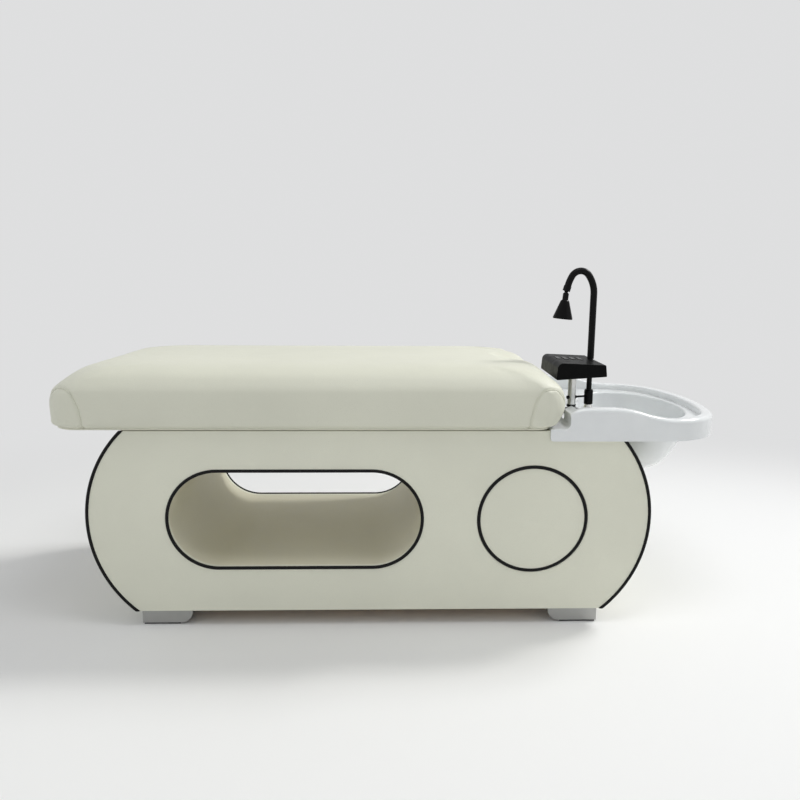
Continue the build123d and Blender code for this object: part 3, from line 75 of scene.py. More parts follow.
def object_of(name, shape):
    """New object with the mesh of a bmesh, which is freed."""
    mesh = bpy.data.meshes.new(name)
    shape.to_mesh(mesh)
    shape.free()
    return linked(name, mesh)


# ---- Camera: fitted to the photograph; place and reach in metres, angles in radians
CAMERA_PLACE = (-0.044, -2.2563, 1.0046)
CAMERA_PITCH = 0.1748
CAMERA_YAW = 0.0258
CAMERA_ROLL = 0.0056
CAMERA_LENS = 31.5  # mm, as the sensor
CAMERA_SENSOR = 36
CAMERA_REACH = 60


def make_camera():
    forward = Vector((
        sin(CAMERA_YAW) * cos(CAMERA_PITCH),
        cos(CAMERA_YAW) * cos(CAMERA_PITCH),
        -sin(CAMERA_PITCH),
    ))
    level = Vector((cos(CAMERA_YAW), -sin(CAMERA_YAW), 0))
    upright = level.cross(forward)
    right = level * cos(CAMERA_ROLL) + upright * sin(CAMERA_ROLL)
    up = upright * cos(CAMERA_ROLL) - level * sin(CAMERA_ROLL)
    data = bpy.data.cameras.new("camera")
    data.lens = CAMERA_LENS
    data.sensor_width = CAMERA_SENSOR
    data.clip_end = CAMERA_REACH
    camera = linked("camera", data)
    turn = Matrix((right, up, -forward)).transposed()
    camera.matrix_world = Matrix.Translation(CAMERA_PLACE) @ turn.to_4x4()
    scene.camera = camera


# ---- Surfaces: every material is made of nodes on object coordinates, in metres
NOISE_LOW = 0.3  # most of a noise's values lie between these two
NOISE_HIGH = 0.7


class Surface:
    """One node material and the few kinds of node that the surfaces here need."""

    def __init__(self, name, **fixed):
        self.material = bpy.data.materials.new(name)
        self.material.use_nodes = True
        self.tree = self.material.node_tree
        self.shader = self.tree.nodes["Principled BSDF"]
        self.place = self.tree.nodes.new("ShaderNodeTexCoord").outputs["Object"]
        self.normal = None
        for socket, value in fixed.items():
            self.shader.inputs[socket.replace("_", " ")].default_value = value

    def feed(self, socket, value):
        """Gives a socket a value or a link."""
        if isinstance(value, bpy.types.NodeSocket):
            self.tree.links.new(value, socket)
        else:
            socket.default_value = value

    def add(self, kind, **sockets):
        """New node, each socket fed by its name, with _ for a space."""
        node = self.tree.nodes.new("ShaderNode" + kind)
        for socket, value in sockets.items():
            self.feed(node.inputs[socket.replace("_", " ")], value)
        return node

    def stretched(self, *scale):
        return self.add("Mapping", Scale=scale, Vector=self.place).outputs["Vector"]

    def noise(self, scale, detail, roughness, distortion=0.0, at=None):
        node = self.add(
            "TexNoise", Scale=scale, Detail=detail, Roughness=roughness,
            Distortion=distortion, Vector=at or self.place,
        )
        return node.outputs["Fac"]

    def cells(self, scale, feature="F1"):
        node = self.add("TexVoronoi", Scale=scale, Vector=self.place)
        node.feature = feature
        return node.outputs["Distance"]

    def waves(self, scale, distortion, detail, direction):
        node = self.add(
            "TexWave", Scale=scale, Distortion=distortion, Detail=detail, Vector=self.place
        )
        node.bands_direction = direction
        return node.outputs["Fac"]

    def range(self, value, to_low, to_high, low=NOISE_LOW, high=NOISE_HIGH):
        """The value, with low to high spread over to_low to to_high."""
        node = self.add(
            "MapRange", From_Min=low, From_Max=high, To_Min=to_low, To_Max=to_high, Value=value
        )
        return node.outputs["Result"]

    def blend(self, share, first, second):
        """Colour between two; each is a colour or the output of another blend."""
        node = self.tree.nodes.new("ShaderNodeMix")
        node.data_type = "RGBA"
        self.feed(node.inputs["Factor"], share)
        for socket, value in ((node.inputs[6], first), (node.inputs[7], second)):
            self.feed(socket, value if isinstance(value, bpy.types.NodeSocket) else (*value, 1.0))
        return node.outputs[2]

    def paint(self, colour):
        self.feed(self.shader.inputs["Base Color"], colour)

    def roughen(self, value):
        self.feed(self.shader.inputs["Roughness"], value)

    def emboss(self, height, depth, strength):
        """Bump of a depth in metres, laid over the bumps before it."""
        node = self.add("Bump", Distance=depth, Strength=strength, Height=height)
        if self.normal is not None:
            self.feed(node.inputs["Normal"], self.normal)
        self.normal = node.outputs["Normal"]
        self.feed(self.shader.inputs["Normal"], self.normal)


def shade(colour, share):
    return tuple(min(1.0, part * share) for part in colour)


def leather(name, colour, soft_folds):
    """Smooth upholstery leather: mottled tone, pebble grain, hair creases, soft unevenness."""
    made = Surface(name, Specular_IOR_Level=0.42, Coat_Weight=0.06, Coat_Roughness=0.3)
    mottle = made.noise(scale=3.2, detail=4, roughness=0.55)
    worn = made.noise(scale=26, detail=5, roughness=0.6)
    folds = made.noise(scale=5.5, detail=2, roughness=0.45, distortion=0.6)
    wrinkles = made.noise(scale=75, detail=4, roughness=0.6, distortion=0.8)
    creased = made.range(made.cells(310, "DISTANCE_TO_EDGE"), 0, 1, low=0, high=0.06)
    tone = made.blend(made.range(mottle, 0, 1), shade(colour, 0.955), shade(colour, 1.02))
    tone = made.blend(creased, shade(colour, 0.93), tone)
    rubbed = made.range(worn, 0, 0.5, low=0.62, high=0.8)
    made.paint(made.blend(rubbed, tone, shade(colour, 1.04)))
    made.roughen(made.range(worn, 0.40, 0.52))
    made.emboss(folds, depth=0.012, strength=soft_folds)
    made.emboss(wrinkles, depth=0.0009, strength=0.35)
    made.emboss(creased, depth=0.0003, strength=0.4)
    made.emboss(made.cells(820), depth=0.0004, strength=0.5)
    return made.material


def vinyl_cord(name):
    """Glossy black piping over a cord."""
    made = Surface(name, Specular_IOR_Level=0.16)
    spots = made.noise(scale=60, detail=4, roughness=0.6)
    made.paint(made.blend(spots, (0.0025, 0.0025, 0.0028), (0.007, 0.007, 0.0075)))
    made.roughen(made.range(spots, 0.24, 0.42))
    made.emboss(made.noise(scale=420, detail=3, roughness=0.6), depth=0.0003, strength=0.4)
    made.emboss(made.cells(1100), depth=0.0002, strength=0.4)
    return made.material


def board(name):
    """Plywood: long grain and dark pores."""
    made = Surface(name, Specular_IOR_Level=0.3)
    grain = made.noise(
        scale=4, detail=8, roughness=0.62, distortion=1.2, at=made.stretched(1.5, 26, 26)
    )
    pores = made.noise(scale=60, detail=4, roughness=0.7, at=made.stretched(1, 14, 14))
    tone = made.blend(made.range(grain, 0, 1), (0.47, 0.31, 0.17), (0.66, 0.49, 0.31))
    deep = made.range(pores, 0, 0.6, low=0.58, high=0.75)
    made.paint(made.blend(deep, tone, (0.30, 0.18, 0.09)))
    made.roughen(made.range(grain, 0.55, 0.75))
    made.emboss(grain, depth=0.0006, strength=0.4)
    made.emboss(pores, depth=0.0004, strength=0.4)
    return made.material


def metal(name, colour, rough, brushed):
    """Bare or plated metal with fine brushing, smudges and a varied gloss."""
    made = Surface(name, Metallic=1.0)
    streaks = made.noise(scale=90, detail=6, roughness=0.7, at=made.stretched(*brushed))
    smudge = made.noise(scale=18, detail=3, roughness=0.55)
    made.paint(made.blend(made.range(smudge, 0, 1, low=0.35), shade(colour, 0.92), colour))
    made.roughen(made.range(streaks, *rough, low=0.25, high=0.75))
    made.emboss(streaks, depth=0.0001, strength=0.35)
    return made.material


def enamel(name, colour, rough, coat=0.0, orange_peel=0.0002, dust=0.0, specular=0.5):
    """Lacquer, glaze or moulded plastic: coated, with orange peel and faint dust."""
    made = Surface(name, Coat_Weight=coat, Coat_Roughness=0.06, Specular_IOR_Level=specular)
    cloud = made.noise(scale=9, detail=4, roughness=0.55)
    gloss = made.noise(scale=40, detail=4, roughness=0.6)
    tone = made.blend(made.range(cloud, 0, 1), shade(colour, 0.96), shade(colour, 1.03))
    if dust:
        specks = made.noise(scale=240, detail=3, roughness=0.7)
        specks = made.range(specks, 0, dust, low=0.60, high=0.72)
        tone = made.blend(specks, tone, (0.32, 0.32, 0.31))
    made.paint(tone)
    made.roughen(made.range(gloss, *rough))
    made.emboss(made.noise(scale=150, detail=2, roughness=0.5), depth=orange_peel, strength=0.3)
    return made.material


def rubber(name, colour, scale):
    """Moulded rubber with a pebbled skin."""
    made = Surface(name, Specular_IOR_Level=0.35)
    grain = made.noise(scale=scale, detail=5, roughness=0.65)
    made.paint(made.blend(grain, shade(colour, 0.8), shade(colour, 1.25)))
    made.roughen(made.range(grain, 0.6, 0.82))
    made.emboss(made.cells(scale * 3), depth=0.0004, strength=0.5)
    return made.material


def braid(name):
    """Woven sleeve of the supply hoses."""
    made = Surface(name, Metallic=0.6)
    one, two = (
        made.waves(scale=190, distortion=0.3, detail=1.0, direction=way)
        for way in ("DIAGONAL", "Z")
    )
    made.paint(made.blend(one, (0.10, 0.10, 0.105), (0.42, 0.42, 0.43)))
    made.roughen(made.range(two, 0.3, 0.5, low=0, high=1))
    made.emboss(one, depth=0.0006, strength=0.6)
    made.emboss(two, depth=0.0004, strength=0.5)
    return made.material


IVORY = (0.80, 0.802, 0.675)
FINISHES = {
    "black_piping": (vinyl_cord, {}),
    "base_leather": (leather, {"colour": IVORY, "soft_folds": 0.10}),
    # painted shade: the base's ivory leather, darkened so the mattress's shaded sides come out
    # darker
    "mattress_leather": (leather, {"colour": shade(IVORY, 0.91), "soft_folds": 0.14}),
    # painted shade and painted warm bounce light: the base's ivory leather, darker and warmer
    # inside the tunnel
    "tunnel_leather": (leather, {"colour": (0.74, 0.71, 0.56), "soft_folds": 0.16}),
    "board": (board, {}),
    "foot_metal": (
        metal, {"colour": (0.42, 0.42, 0.41), "rough": (0.30, 0.46), "brushed": (2, 60, 60)}
    ),
    "pad_rubber": (rubber, {"colour": (0.03, 0.03, 0.03), "scale": 160}),
    "bolt_steel": (
        metal, {"colour": (0.62, 0.62, 0.60), "rough": (0.25, 0.42), "brushed": (20, 20, 20)}
    ),
    "basin_white": (
        enamel, {"colour": (0.80, 0.82, 0.825), "rough": (0.12, 0.22), "coat": 0.5}
    ),
    "bright_metal": (
        metal, {"colour": (0.74, 0.74, 0.72), "rough": (0.10, 0.22), "brushed": (30, 30, 2)}
    ),
    "pipe_plastic": (
        enamel, {"colour": (0.80, 0.80, 0.78), "rough": (0.4, 0.55), "orange_peel": 0.0003}
    ),
    "brass_fitting": (
        metal, {"colour": (0.78, 0.58, 0.28), "rough": (0.22, 0.4), "brushed": (30, 30, 6)}
    ),
    "hose_rubber": (braid, {}),
    "console_black": (enamel, {
        "colour": (0.007, 0.007, 0.0072), "rough": (0.34, 0.46),
        "orange_peel": 0.00003, "dust": 0.02, "specular": 0.03,
    }),
    "key_black": (enamel, {
        "colour": (0.003, 0.003, 0.003), "rough": (0.20, 0.30),
        "orange_peel": 0.00005, "dust": 0.02, "specular": 0.05,
    }),
    "tap_black": (enamel, {
        "colour": (0.0022, 0.0022, 0.0025), "rough": (0.30, 0.40),
        "orange_peel": 0.00005, "dust": 0.02, "specular": 0.13,
    }),
    "tap_dark": (enamel, {
        "colour": (0.006, 0.006, 0.0065), "rough": (0.22, 0.36),
        "orange_peel": 0.0002, "dust": 0.05, "specular": 0.20,
    }),
    "bell_plastic": (enamel, {
        "colour": (0.003, 0.003, 0.0033), "rough": (0.28, 0.40),
        "orange_peel": 0.0001, "dust": 0.02, "specular": 0.09,
    }),
}
surfaces = {slot: make(slot, **how) for slot, (make, how) in FINISHES.items()}


def dress_frame():
    """Gives every CAD node the finish of its slot."""
    for row in frame["record"]["subparts"]:
        for holder in frame["nodes"][row["node"]].material_slots:
            holder.material = surfaces[row["material_slot"]]


# ---- Mattress: rings between the levels of its outline, from the underside up to the crown
MM = 0.001
MATTRESS_LEFT = -0.9785
MATTRESS_RIGHT = 0.4775
MATTRESS_FLOOR = 0.587
MATTRESS_RISE = 0.170
MATTRESS_HALF = 0.375
SIDE_DRAW = 0.260
END_DRAW = 0.340
CORNER_LEFT = 0.082
CORNER_RIGHT = 0.053
CORNER_GAIN = 0.050
LEVELS = (  # share of the rise, of the side draw, of the left and right draw, of the corner gain
    (0.0, 0.085, 0.065, 0.147, 0.0),
    (0.018, 0.050, 0.038, 0.109, 0.0),
    (0.060, 0.020, 0.015, 0.070, 0.0),
    (0.143, 0.004, 0.003, 0.035, 0.0),
    (0.375, 0.0, 0.0, 0.0, 0.0),
    (0.613, 0.010, 0.026, 0.024, 0.051),
    (0.702, 0.038, 0.068, 0.056, 0.163),
    (0.780, 0.075, 0.115, 0.103, 0.314),
    (0.845, 0.113, 0.158, 0.148, 0.476),
    (0.899, 0.167, 0.210, 0.212, 0.637),
    (0.946, 0.260, 0.300, 0.325, 0.796),
    (0.982, 0.473, 0.450, 0.520, 0.929),
    (1.0, 1.0, 1.0, 1.0, 1.0),
)
LEVEL_GAP = 3 * MM  # the least way between two levels
BOARD_ROOM = 3 * MM  # around the mattress board, which lies in a pocket of the underside
POCKET_CORNER = 0.06
RING_STEPS = 72
CORNER_STEPS = 14
SIDE_STEPS = 120
END_STEPS = 40
QUARTER = 90


def eased(knots, values, at):
    """Smooth curve through the values that doesn't overshoot them."""
    step = np.diff(knots)
    slope = np.diff(values) / step
    lean = np.zeros(len(knots))
    for i in range(1, len(knots) - 1):
        if slope[i - 1] * slope[i] > 0:
            near, far = 2 * step[i] + step[i - 1], step[i] + 2 * step[i - 1]
            lean[i] = (near + far) / (near / slope[i - 1] + far / slope[i])
    lean[0], lean[-1] = slope[0], slope[-1]
    i = np.clip(np.searchsorted(knots, at) - 1, 0, len(step) - 1)
    t = (at - knots[i]) / step[i]
    return (
        values[i] * (1 + 2 * t) * (1 - t) ** 2
        + lean[i] * step[i] * t * (1 - t) ** 2
        + values[i + 1] * t * t * (3 - 2 * t)
        + lean[i + 1] * step[i] * t * t * (t - 1)
    )


def ring(left, right, half, round_left, round_right, height):
    """Rounded rectangle at one height, the same number of points at every height."""
    limit = min(half - MM, (right - left) / 2 - MM)
    round_left, round_right = min(round_left, limit), min(round_right, limit)
    points = []
    for x, y, corner, start, steps in (
        (right - round_right, half - round_right, round_right, 0, SIDE_STEPS),
        (left + round_left, half - round_left, round_left, QUARTER, END_STEPS),
        (left + round_left, round_left - half, round_left, 2 * QUARTER, SIDE_STEPS),
        (right - round_right, round_right - half, round_right, 3 * QUARTER, END_STEPS),
    ):
        turns = [radians(start + QUARTER * i / CORNER_STEPS) for i in range(CORNER_STEPS + 1)]
        arc = [Vector((x + corner * cos(t), y + corner * sin(t), height)) for t in turns]
        if points:
            last = points[-1]
            points += [last.lerp(arc[0], i / gap) for i in range(1, gap)]
        points += arc
        gap = steps
    points += [points[-1].lerp(points[0], i / gap) for i in range(1, gap)]
    return points


def mattress_rings():
    rows = np.array(LEVELS)
    reach = np.hypot(np.diff(rows[:, 0]) * MATTRESS_RISE, np.diff(rows[:, 1]) * SIDE_DRAW)
    knots = np.concatenate([[0], np.cumsum(np.maximum(reach, LEVEL_GAP))])
    at = np.linspace(0, knots[-1], RING_STEPS)
    rise, side, left, right, gain = (eased(knots, rows[:, i], at) for i in range(5))
    board_low, board_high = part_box("mattress_board")
    pocket = (
        board_low.x - BOARD_ROOM, board_high.x + BOARD_ROOM, board_high.y + BOARD_ROOM,
        POCKET_CORNER, POCKET_CORNER,
    )
    rings = [ring(*pocket, height) for height in (board_high.z + BOARD_ROOM, MATTRESS_FLOOR)]
    for r, s, a, b, g in zip(rise, side, left, right, gain):
        rings.append(ring(
            MATTRESS_LEFT + END_DRAW * a,
            MATTRESS_RIGHT - END_DRAW * b,
            MATTRESS_HALF - SIDE_DRAW * s,
            CORNER_LEFT + CORNER_GAIN * g,
            CORNER_RIGHT + CORNER_GAIN * g,
            MATTRESS_FLOOR + MATTRESS_RISE * r,
        ))
    return rings


def skin(name, rings, closed=False):
    """Quads between rings of points, with flat ends unless the last ring meets the first."""
    made = bmesh.new()
    rows = [[made.verts.new(p) for p in points] for points in rings]
    for low, high in list(zip(rows, rows[1:])) + ([(rows[-1], rows[0])] if closed else []):
        for i in range(len(low)):
            k = (i + 1) % len(low)
            made.faces.new((low[i], low[k], high[k], high[i]))
    if not closed:
        made.faces.new(list(reversed(rows[0])))
        made.faces.new(rows[-1])
    bmesh.ops.recalc_face_normals(made, faces=made.faces)
    return object_of(name, made)


def smooth(piece):
    for face in piece.data.polygons:
        face.use_smooth = True


def places(mesh):
    found = np.zeros(len(mesh.vertices) * 3, np.float32)
    mesh.vertices.foreach_get("co", found)
    return found.reshape(-1, 3).astype(float)


def place(mesh, points):
    mesh.vertices.foreach_set("co", np.asarray(points, np.float32).ravel())
    mesh.update()


def applied(piece):
    """Replaces the piece's mesh by what its modifiers make of it."""
    bpy.context.view_layer.update()
    made = bpy.data.meshes.new_from_object(
        piece.evaluated_get(bpy.context.evaluated_depsgraph_get())
    )
    piece.modifiers.clear()
    piece.data = made


def surface_of(piece):
    return BVHTree.FromObject(piece, bpy.context.evaluated_depsgraph_get())


def smooth_share(value, low, high):
    t = np.clip((value - low) / (high - low), 0, 1)
    return t * t * (3 - 2 * t)


def route(points, step):
    """Evenly spaced points on a smooth curve through the given ones."""
    p = np.array(points, float)
    reach = np.concatenate([[0], np.cumsum(np.linalg.norm(np.diff(p, axis=0), axis=1))])
    at = np.arange(0, reach[-1], step)
    return np.stack([eased(reach, p[:, i], at) for i in range(3)], axis=1)


# Hollow for the neck: its start, half width at the end, depth, and how both grow along it
NECK_START = 0.298
NECK_HALF = 0.110
NECK_TIP = 0.004
NECK_DEPTH = 0.042
NECK_FLARE = 6.0
NECK_POWER = 0.9
NECK_WALL = (0.25, 1.10)
NECK_RUN_IN = (0.0, 0.20)
# Rims beside it: where they rise along the bed, where they fall, how far to the side they reach
LIP_RISE = 0.0055
LIP_START = (0.33, 0.415)
LIP_FALL = 0.462
LIP_SIDE = (0.15, 0.30)
# Crease: its line seen from above, how it fades along and beside that line, and a ridge outside it
CREASE = (
    (0.262, 0.268), (0.285, 0.236), (0.310, 0.220), (0.339, 0.205),
    (0.362, 0.203), (0.382, 0.215), (0.392, 0.245), (0.396, 0.300),
)
CREASE_STEP = 0.003
CREASE_DROP = 0.0034
CREASE_RUN_IN = (0.02, 0.30)
CREASE_END = 0.008
CREASE_EDGE = (-0.003, 0.006)
CREASE_FADE = 0.055
RIDGE_RISE = 0.0010
RIDGE_PLACE = 0.008
RIDGE_WIDTH = 0.009
CREASE_ALONG = (0.20, 0.46)  # the part of the mesh that is searched for the crease
CREASE_SIDE = 0.36
CREASE_FLOOR = 0.68
TOP_FADE = (0.040, 0.095)  # heights over the mattress floor between which all of this sets in


def crease_depth(x, side):
    """Depth of the crease at points seen from above; below 0 on its ridge."""
    line = route([(a, b, 0) for a, b in CREASE], CREASE_STEP)[:, :2]
    ahead = np.gradient(line, axis=0)
    ahead /= np.linalg.norm(ahead, axis=1)[:, None]
    gap = np.stack([x, side], axis=1)[:, None, :] - line[None, :, :]
    closest = (gap ** 2).sum(2).argmin(1)
    gap = gap[np.arange(len(x)), closest]
    way = ahead[closest]
    off = gap[:, 1] * way[:, 0] - gap[:, 0] * way[:, 1]
    end = np.abs(gap[:, 0] * way[:, 0] + gap[:, 1] * way[:, 1])
    taper = smooth_share(closest / len(line), *CREASE_RUN_IN) * np.exp(-(end / CREASE_END) ** 2)
    inside = smooth_share(-off, *CREASE_EDGE) * np.exp(-np.maximum(-off, 0) / CREASE_FADE)
    ridge = RIDGE_RISE * np.exp(-((off - RIDGE_PLACE) / RIDGE_WIDTH) ** 2)
    return taper * (CREASE_DROP * inside - ridge)


def hollow_neck(points):
    """Sinks the head end for the neck between raised rims, with a crease beside the hollow."""
    x, y, z = points.T
    side = np.abs(y)
    along = np.clip((x - NECK_START) / (MATTRESS_RIGHT - NECK_START), 0, 1)
    half = NECK_HALF * (1 - np.exp(-(along * NECK_FLARE) ** NECK_POWER)) + NECK_TIP
    wall = 1 - smooth_share(side / half, *NECK_WALL)
    hollow = NECK_DEPTH * along ** NECK_POWER * wall * smooth_share(along, *NECK_RUN_IN)
    lip = (
        LIP_RISE * smooth_share(x, *LIP_START)
        * (1 - smooth_share(x, LIP_FALL, MATTRESS_RIGHT)) * (1 - smooth_share(side, *LIP_SIDE))
    )
    crease = np.zeros(len(points))
    first, last = CREASE_ALONG
    near = np.where((x > first) & (x < last) & (side < CREASE_SIDE) & (z > CREASE_FLOOR))[0]
    crease[near] = crease_depth(x[near], side[near])
    low, high = TOP_FADE
    on_top = smooth_share(z, MATTRESS_FLOOR + low, MATTRESS_FLOOR + high)
    share = np.clip((z - MATTRESS_FLOOR) / MATTRESS_RISE, 0, 1)
    points[:, 2] = z - (hollow + crease - lip) * on_top * share


VOXEL = 0.007
CLOTH_FRAMES = 20
CLOTH = {
    "use_pressure": True, "uniform_pressure_force": 3.5, "quality": 4,
    "tension_stiffness": 12, "compression_stiffness": 12, "shear_stiffness": 6,
    "bending_stiffness": 0.3,
}
SWELL_CAP = 0.005  # how far a point may move
SWELL_HELD = 0.012  # height over the mattress floor below which the cloth is held
NO_LENGTH = 1e-9


def swell(piece):
    """Blows the upholstery up a little with Cloth, with the underside held."""
    mesh = piece.data
    rest = places(mesh)
    held = [i for i, p in enumerate(rest) if p[2] < MATTRESS_FLOOR + SWELL_HELD]
    piece.vertex_groups.new(name="held").add(held, 1.0, "REPLACE")
    cloth = piece.modifiers.new("swell", "CLOTH")
    cloth.settings.vertex_group_mass = "held"
    for setting, value in CLOTH.items():
        setattr(cloth.settings, setting, value)
    cloth.settings.effector_weights.gravity = 0
    cloth.collision_settings.use_collision = False
    for step in range(1, CLOTH_FRAMES + 1):
        scene.frame_set(step)
    moved = places(piece.evaluated_get(bpy.context.evaluated_depsgraph_get()).data)
    piece.modifiers.clear()
    shift = moved - rest
    length = np.linalg.norm(shift, axis=1)
    shift *= (np.minimum(length, SWELL_CAP) / np.maximum(length, NO_LENGTH))[:, None]
    place(mesh, rest + shift)
    scene.frame_set(1)


# Seam lines of the corner patches on the front side, from the underside over the top to the end
RIGHT_SEAM = (
    (0.3655, -0.3580, 0.5875), (0.3673, -0.3645, 0.5918), (0.3685, -0.3739, 0.6108),
    (0.3717, -0.3747, 0.6298), (0.3752, -0.3750, 0.6447), (0.3788, -0.3749, 0.6598),
    (0.3840, -0.3742, 0.6725), (0.3912, -0.3732, 0.6842), (0.3969, -0.3722, 0.6914),
    (0.4045, -0.3704, 0.6970), (0.4129, -0.3681, 0.7005), (0.4219, -0.3650, 0.7017),
    (0.4323, -0.3611, 0.7011), (0.4436, -0.3573, 0.6982), (0.4509, -0.3569, 0.6926),
    (0.4581, -0.3543, 0.6843), (0.4638, -0.3509, 0.6770), (0.4706, -0.3400, 0.6600),
    (0.4750, -0.3270, 0.6400), (0.4755, -0.3190, 0.6200), (0.4680, -0.3150, 0.6000),
    (0.4500, -0.3150, 0.5875),
)
LEFT_SEAM = (
    (-0.8645, -0.3600, 0.5875), (-0.8648, -0.3660, 0.5930), (-0.8652, -0.3716, 0.6015),
    (-0.8661, -0.3741, 0.6148), (-0.8680, -0.3747, 0.6299), (-0.8706, -0.3750, 0.6434),
    (-0.8738, -0.3750, 0.6547), (-0.8782, -0.3747, 0.6646), (-0.8828, -0.3740, 0.6759),
    (-0.8886, -0.3730, 0.6862), (-0.8969, -0.3694, 0.6957), (-0.9088, -0.3607, 0.7011),
    (-0.9194, -0.3529, 0.7026), (-0.9291, -0.3464, 0.7021), (-0.9408, -0.3402, 0.6994),
    (-0.9485, -0.3408, 0.6940), (-0.9600, -0.3300, 0.6850), (-0.9720, -0.3100, 0.6700),
    (-0.9770, -0.2930, 0.6500), (-0.9780, -0.2820, 0.6200), (-0.9740, -0.2760, 0.6000),
    (-0.9620, -0.2750, 0.5875),
)
SEAM_STEP = 0.004
SEAM_DEPTH = 0.0030
SEAM_WIDTH = 0.0045
SEAM_REACH = 3  # widths beside a seam that it still moves
PUCKER_SHARE = 0.10
PUCKER_PITCH = 0.9
FAR_AWAY = 9.0
STRAND_LIFT = 0.0006
STRAND_RADIUS = 0.0016
# Hem along the lower edge: ends and side of its run, its corners, its place under the floor
HEM_REACH = (MATTRESS_LEFT + 0.0195, MATTRESS_RIGHT - 0.046, MATTRESS_HALF - 0.0195, 0.075, 0.045)
HEM_DROP = 0.0004
HEM_RADIUS = 0.0030
TUBE_SIDES = 8
TUBE_TURNS = [2 * pi * k / TUBE_SIDES for k in range(TUBE_SIDES)]
PARALLEL = 1e-6  # shorter than this, the old side direction runs along the tube


def settle(points, tree, lift):
    """Moves points onto the surface, lift above it."""
    found = []
    for p in points:
        near, normal, _, _ = tree.find_nearest(Vector(p))
        found.append(near + normal * lift)
    return found


def press_seams(piece, lines):
    """Draws the surface in along the seams, with small puckers beside them."""
    mesh = piece.data
    points = places(mesh)
    normals = np.zeros(len(mesh.vertices) * 3, np.float32)
    mesh.vertices.foreach_get("normal", normals)
    normals = normals.reshape(-1, 3)
    for line in lines:
        line = np.array([tuple(p) for p in line])
        low, high = line.min(0) - SEAM_REACH * SEAM_WIDTH, line.max(0) + SEAM_REACH * SEAM_WIDTH
        near = np.where(((points > low) & (points < high)).all(1))[0]
        gap = np.full(len(near), FAR_AWAY)
        step = np.zeros(len(near))
        for i, p in enumerate(line):
            d = np.linalg.norm(points[near] - p, axis=1)
            closer = d < gap
            gap[closer], step[closer] = d[closer], i
        drawn = np.exp(-((gap / SEAM_WIDTH) ** 2)) * SEAM_DEPTH
        beside = np.exp(-(((gap - SEAM_WIDTH) / SEAM_WIDTH) ** 2))
        pucker = beside * np.sin(step * PUCKER_PITCH) * SEAM_DEPTH * PUCKER_SHARE
        points[near] -= normals[near] * (drawn + pucker)[:, None]
    place(mesh, points)


def tube(name, line, radius, closed=False):
    """Round strand along a line of points."""
    line = [Vector(p) for p in line]
    rings = []
    count = len(line)
    side = Vector((0, 0, 1))
    for i, p in enumerate(line):
        ahead = line[(i + 1) % count] if closed or i + 1 < count else p
        behind = line[i - 1] if closed or i else p
        along = (ahead - behind).normalized()
        side = side - along * side.dot(along)
        if side.length < PARALLEL:
            side = along.orthogonal()
        side.normalize()
        other = along.cross(side)
        rings.append([p + (side * cos(t) + other * sin(t)) * radius for t in TUBE_TURNS])
    piece = skin(name, rings, closed)
    smooth(piece)
    return piece


def upholster(piece):
    """Mattress leather, on the base."""
    piece.data.materials.clear()
    piece.data.materials.append(surfaces["mattress_leather"])
    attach(piece, "base")


def make_mattress():
    piece = skin("mattress_cover", mattress_rings())
    remesh = piece.modifiers.new("even", "REMESH")
    remesh.mode = "VOXEL"
    remesh.voxel_size = VOXEL
    applied(piece)
    points = places(piece.data)
    hollow_neck(points)
    place(piece.data, points)
    swell(piece)
    finer = piece.modifiers.new("finer", "SUBSURF")
    finer.levels = finer.render_levels = 1
    applied(piece)
    tree = surface_of(piece)
    lines = []
    for seam in (RIGHT_SEAM, LEFT_SEAM):
        for side in (1, -1):
            drawn = route([(x, side * y, z) for x, y, z in seam], SEAM_STEP)
            lines.append(settle(drawn, tree, 0.0))
    press_seams(piece, lines)
    smooth(piece)
    upholster(piece)
    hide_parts("mattress")
    tree = surface_of(piece)
    for name, line in zip(("right_front", "right_back", "left_front", "left_back"), lines):
        upholster(tube("seam_" + name, settle(line, tree, STRAND_LIFT), STRAND_RADIUS))
    hem = ring(*HEM_REACH, MATTRESS_FLOOR - HEM_DROP)
    upholster(tube("mattress_hem", hem, HEM_RADIUS, closed=True))


# ---- Stage and lamps
FLOOR_SIZE = 14
FLOOR_STEPS = 40
FLOOR_COLOUR = (0.87, 0.87, 0.865)
BACKDROP = (0.735, 0.738, 0.742)
LIT_PLACE = (0.05, 0.25, 0)  # the lit patch of floor around the object, as the mapping sees it
LIT_SCALE = (0.62, 0.85, 1)
LIT_FADE = (0.9, 2.6)
SKY_COLOUR = (0.96, 0.98, 1.0)
SKY_STRENGTH = 0.47
SUN_ENERGY = 0.80
SUN_ANGLE = 7
SUN_COLOUR = (1.0, 0.985, 0.94)
SUN_FROM = (1.15, 0.42, 1.1)
LAMPS = (  # name, size, watts, place, target
    ("top_box", (1.4, 1.0), 18, (0.50, -0.95, 3.3), (0.30, 0, 0.6)),
    ("right_box", (1.2, 1.8), 3, (2.6, -1.4, 1.9), (0.5, 0, 0.6)),
    ("window", (0.9, 0.9), 85, (3.65, 1.23, 3.91), (0.3, 0, 0.7)),
    ("left_box", (3.0, 2.4), 14, (-3.2, -1.6, 2.2), (-0.8, -0.2, 0.2)),
)


def straight_look(tree):
    """1 where the camera, a reflection or a clear material looks straight at the surface."""
    path = tree.nodes.new("ShaderNodeLightPath")
    look = path.outputs["Is Camera Ray"]
    for other in ("Is Glossy Ray", "Is Transmission Ray"):
        higher = tree.nodes.new("ShaderNodeMath")
        higher.operation = "MAXIMUM"
        tree.links.new(look, higher.inputs[0])
        tree.links.new(path.outputs[other], higher.inputs[1])
        look = higher.outputs[0]
    return look


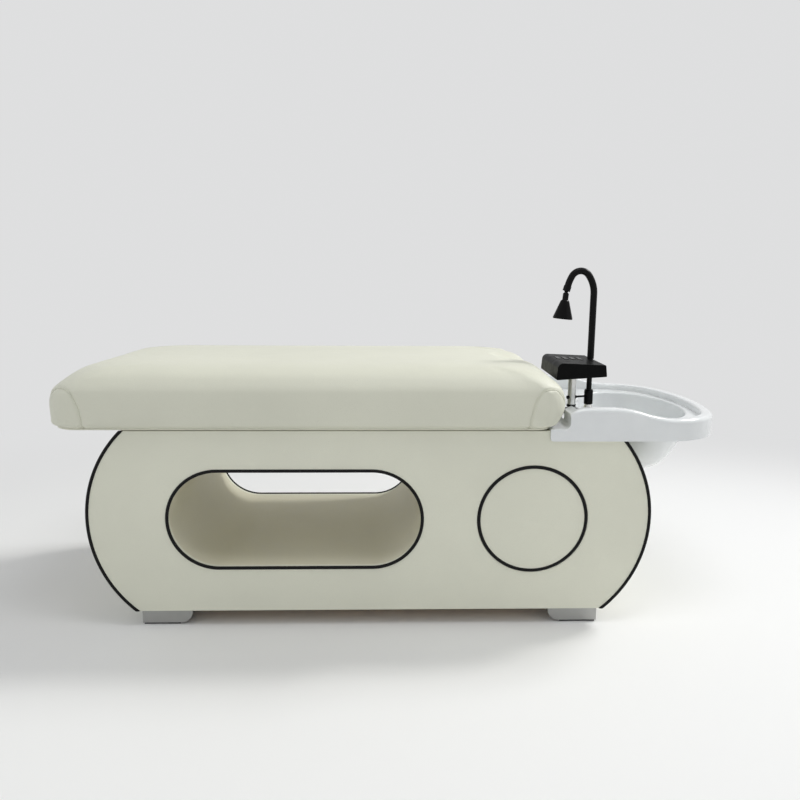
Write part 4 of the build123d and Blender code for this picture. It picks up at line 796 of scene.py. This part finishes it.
def make_floor():
    """Pale floor that turns into the backdrop's colour away from the object."""
    shape = bmesh.new()
    bmesh.ops.create_grid(
        shape, x_segments=FLOOR_STEPS, y_segments=FLOOR_STEPS, size=FLOOR_SIZE
    )
    floor = object_of("floor", shape)
    floor.location.z = cad_low.z
    made = Surface(
        "floor", Base_Color=(*FLOOR_COLOUR, 1), Roughness=0.75, Specular_IOR_Level=0.2
    )
    flat = made.add("Emission", Color=(*BACKDROP, 1))
    patch = made.add("Mapping", Location=LIT_PLACE, Scale=LIT_SCALE, Vector=made.place)
    far = made.add("VectorMath")
    far.operation = "LENGTH"
    made.feed(far.inputs[0], patch.outputs["Vector"])
    start, end = LIT_FADE
    fade = made.add("MapRange", From_Min=start, From_Max=end, Value=far.outputs["Value"])
    fade.interpolation_type = "SMOOTHERSTEP"
    both = made.add("Math")
    both.operation = "MULTIPLY"
    made.feed(both.inputs[0], fade.outputs["Result"])
    made.feed(both.inputs[1], straight_look(made.tree))
    mix = made.add("MixShader", Fac=both.outputs[0])
    made.feed(mix.inputs[1], made.shader.outputs[0])
    made.feed(mix.inputs[2], flat.outputs[0])
    made.feed(made.tree.nodes["Material Output"].inputs["Surface"], mix.outputs[0])
    floor.data.materials.append(made.material)


def make_world():
    world = bpy.data.worlds.new("studio")
    scene.world = world
    world.use_nodes = True
    tree = world.node_tree
    sky = tree.nodes["Background"]
    sky.inputs["Color"].default_value = (*SKY_COLOUR, 1)
    sky.inputs["Strength"].default_value = SKY_STRENGTH
    seen = tree.nodes.new("ShaderNodeBackground")
    seen.inputs["Color"].default_value = (*BACKDROP, 1)
    mix = tree.nodes.new("ShaderNodeMixShader")
    tree.links.new(straight_look(tree), mix.inputs["Fac"])
    tree.links.new(sky.outputs[0], mix.inputs[1])
    tree.links.new(seen.outputs[0], mix.inputs[2])
    tree.links.new(mix.outputs[0], tree.nodes["World Output"].inputs["Surface"])


def hang(data, at, target):
    """Puts a lamp at a place, aimed at a target."""
    lamp = linked(data.name, data)
    lamp.location = at
    lamp.rotation_mode = "QUATERNION"
    lamp.rotation_quaternion = (Vector(target) - Vector(at)).to_track_quat("-Z", "Y")


def make_lamps():
    sun = bpy.data.lights.new("sun", "SUN")
    sun.energy = SUN_ENERGY
    sun.angle = radians(SUN_ANGLE)
    sun.color = SUN_COLOUR
    hang(sun, SUN_FROM, (0, 0, 0))
    for name, size, watts, at, target in LAMPS:
        data = bpy.data.lights.new(name, "AREA")
        data.shape = "RECTANGLE"
        data.size, data.size_y = size
        data.energy = watts
        hang(data, at, target)


scene.view_settings.view_transform = "Standard"
make_camera()
make_world()
make_floor()
make_lamps()
dress_frame()
make_mattress()
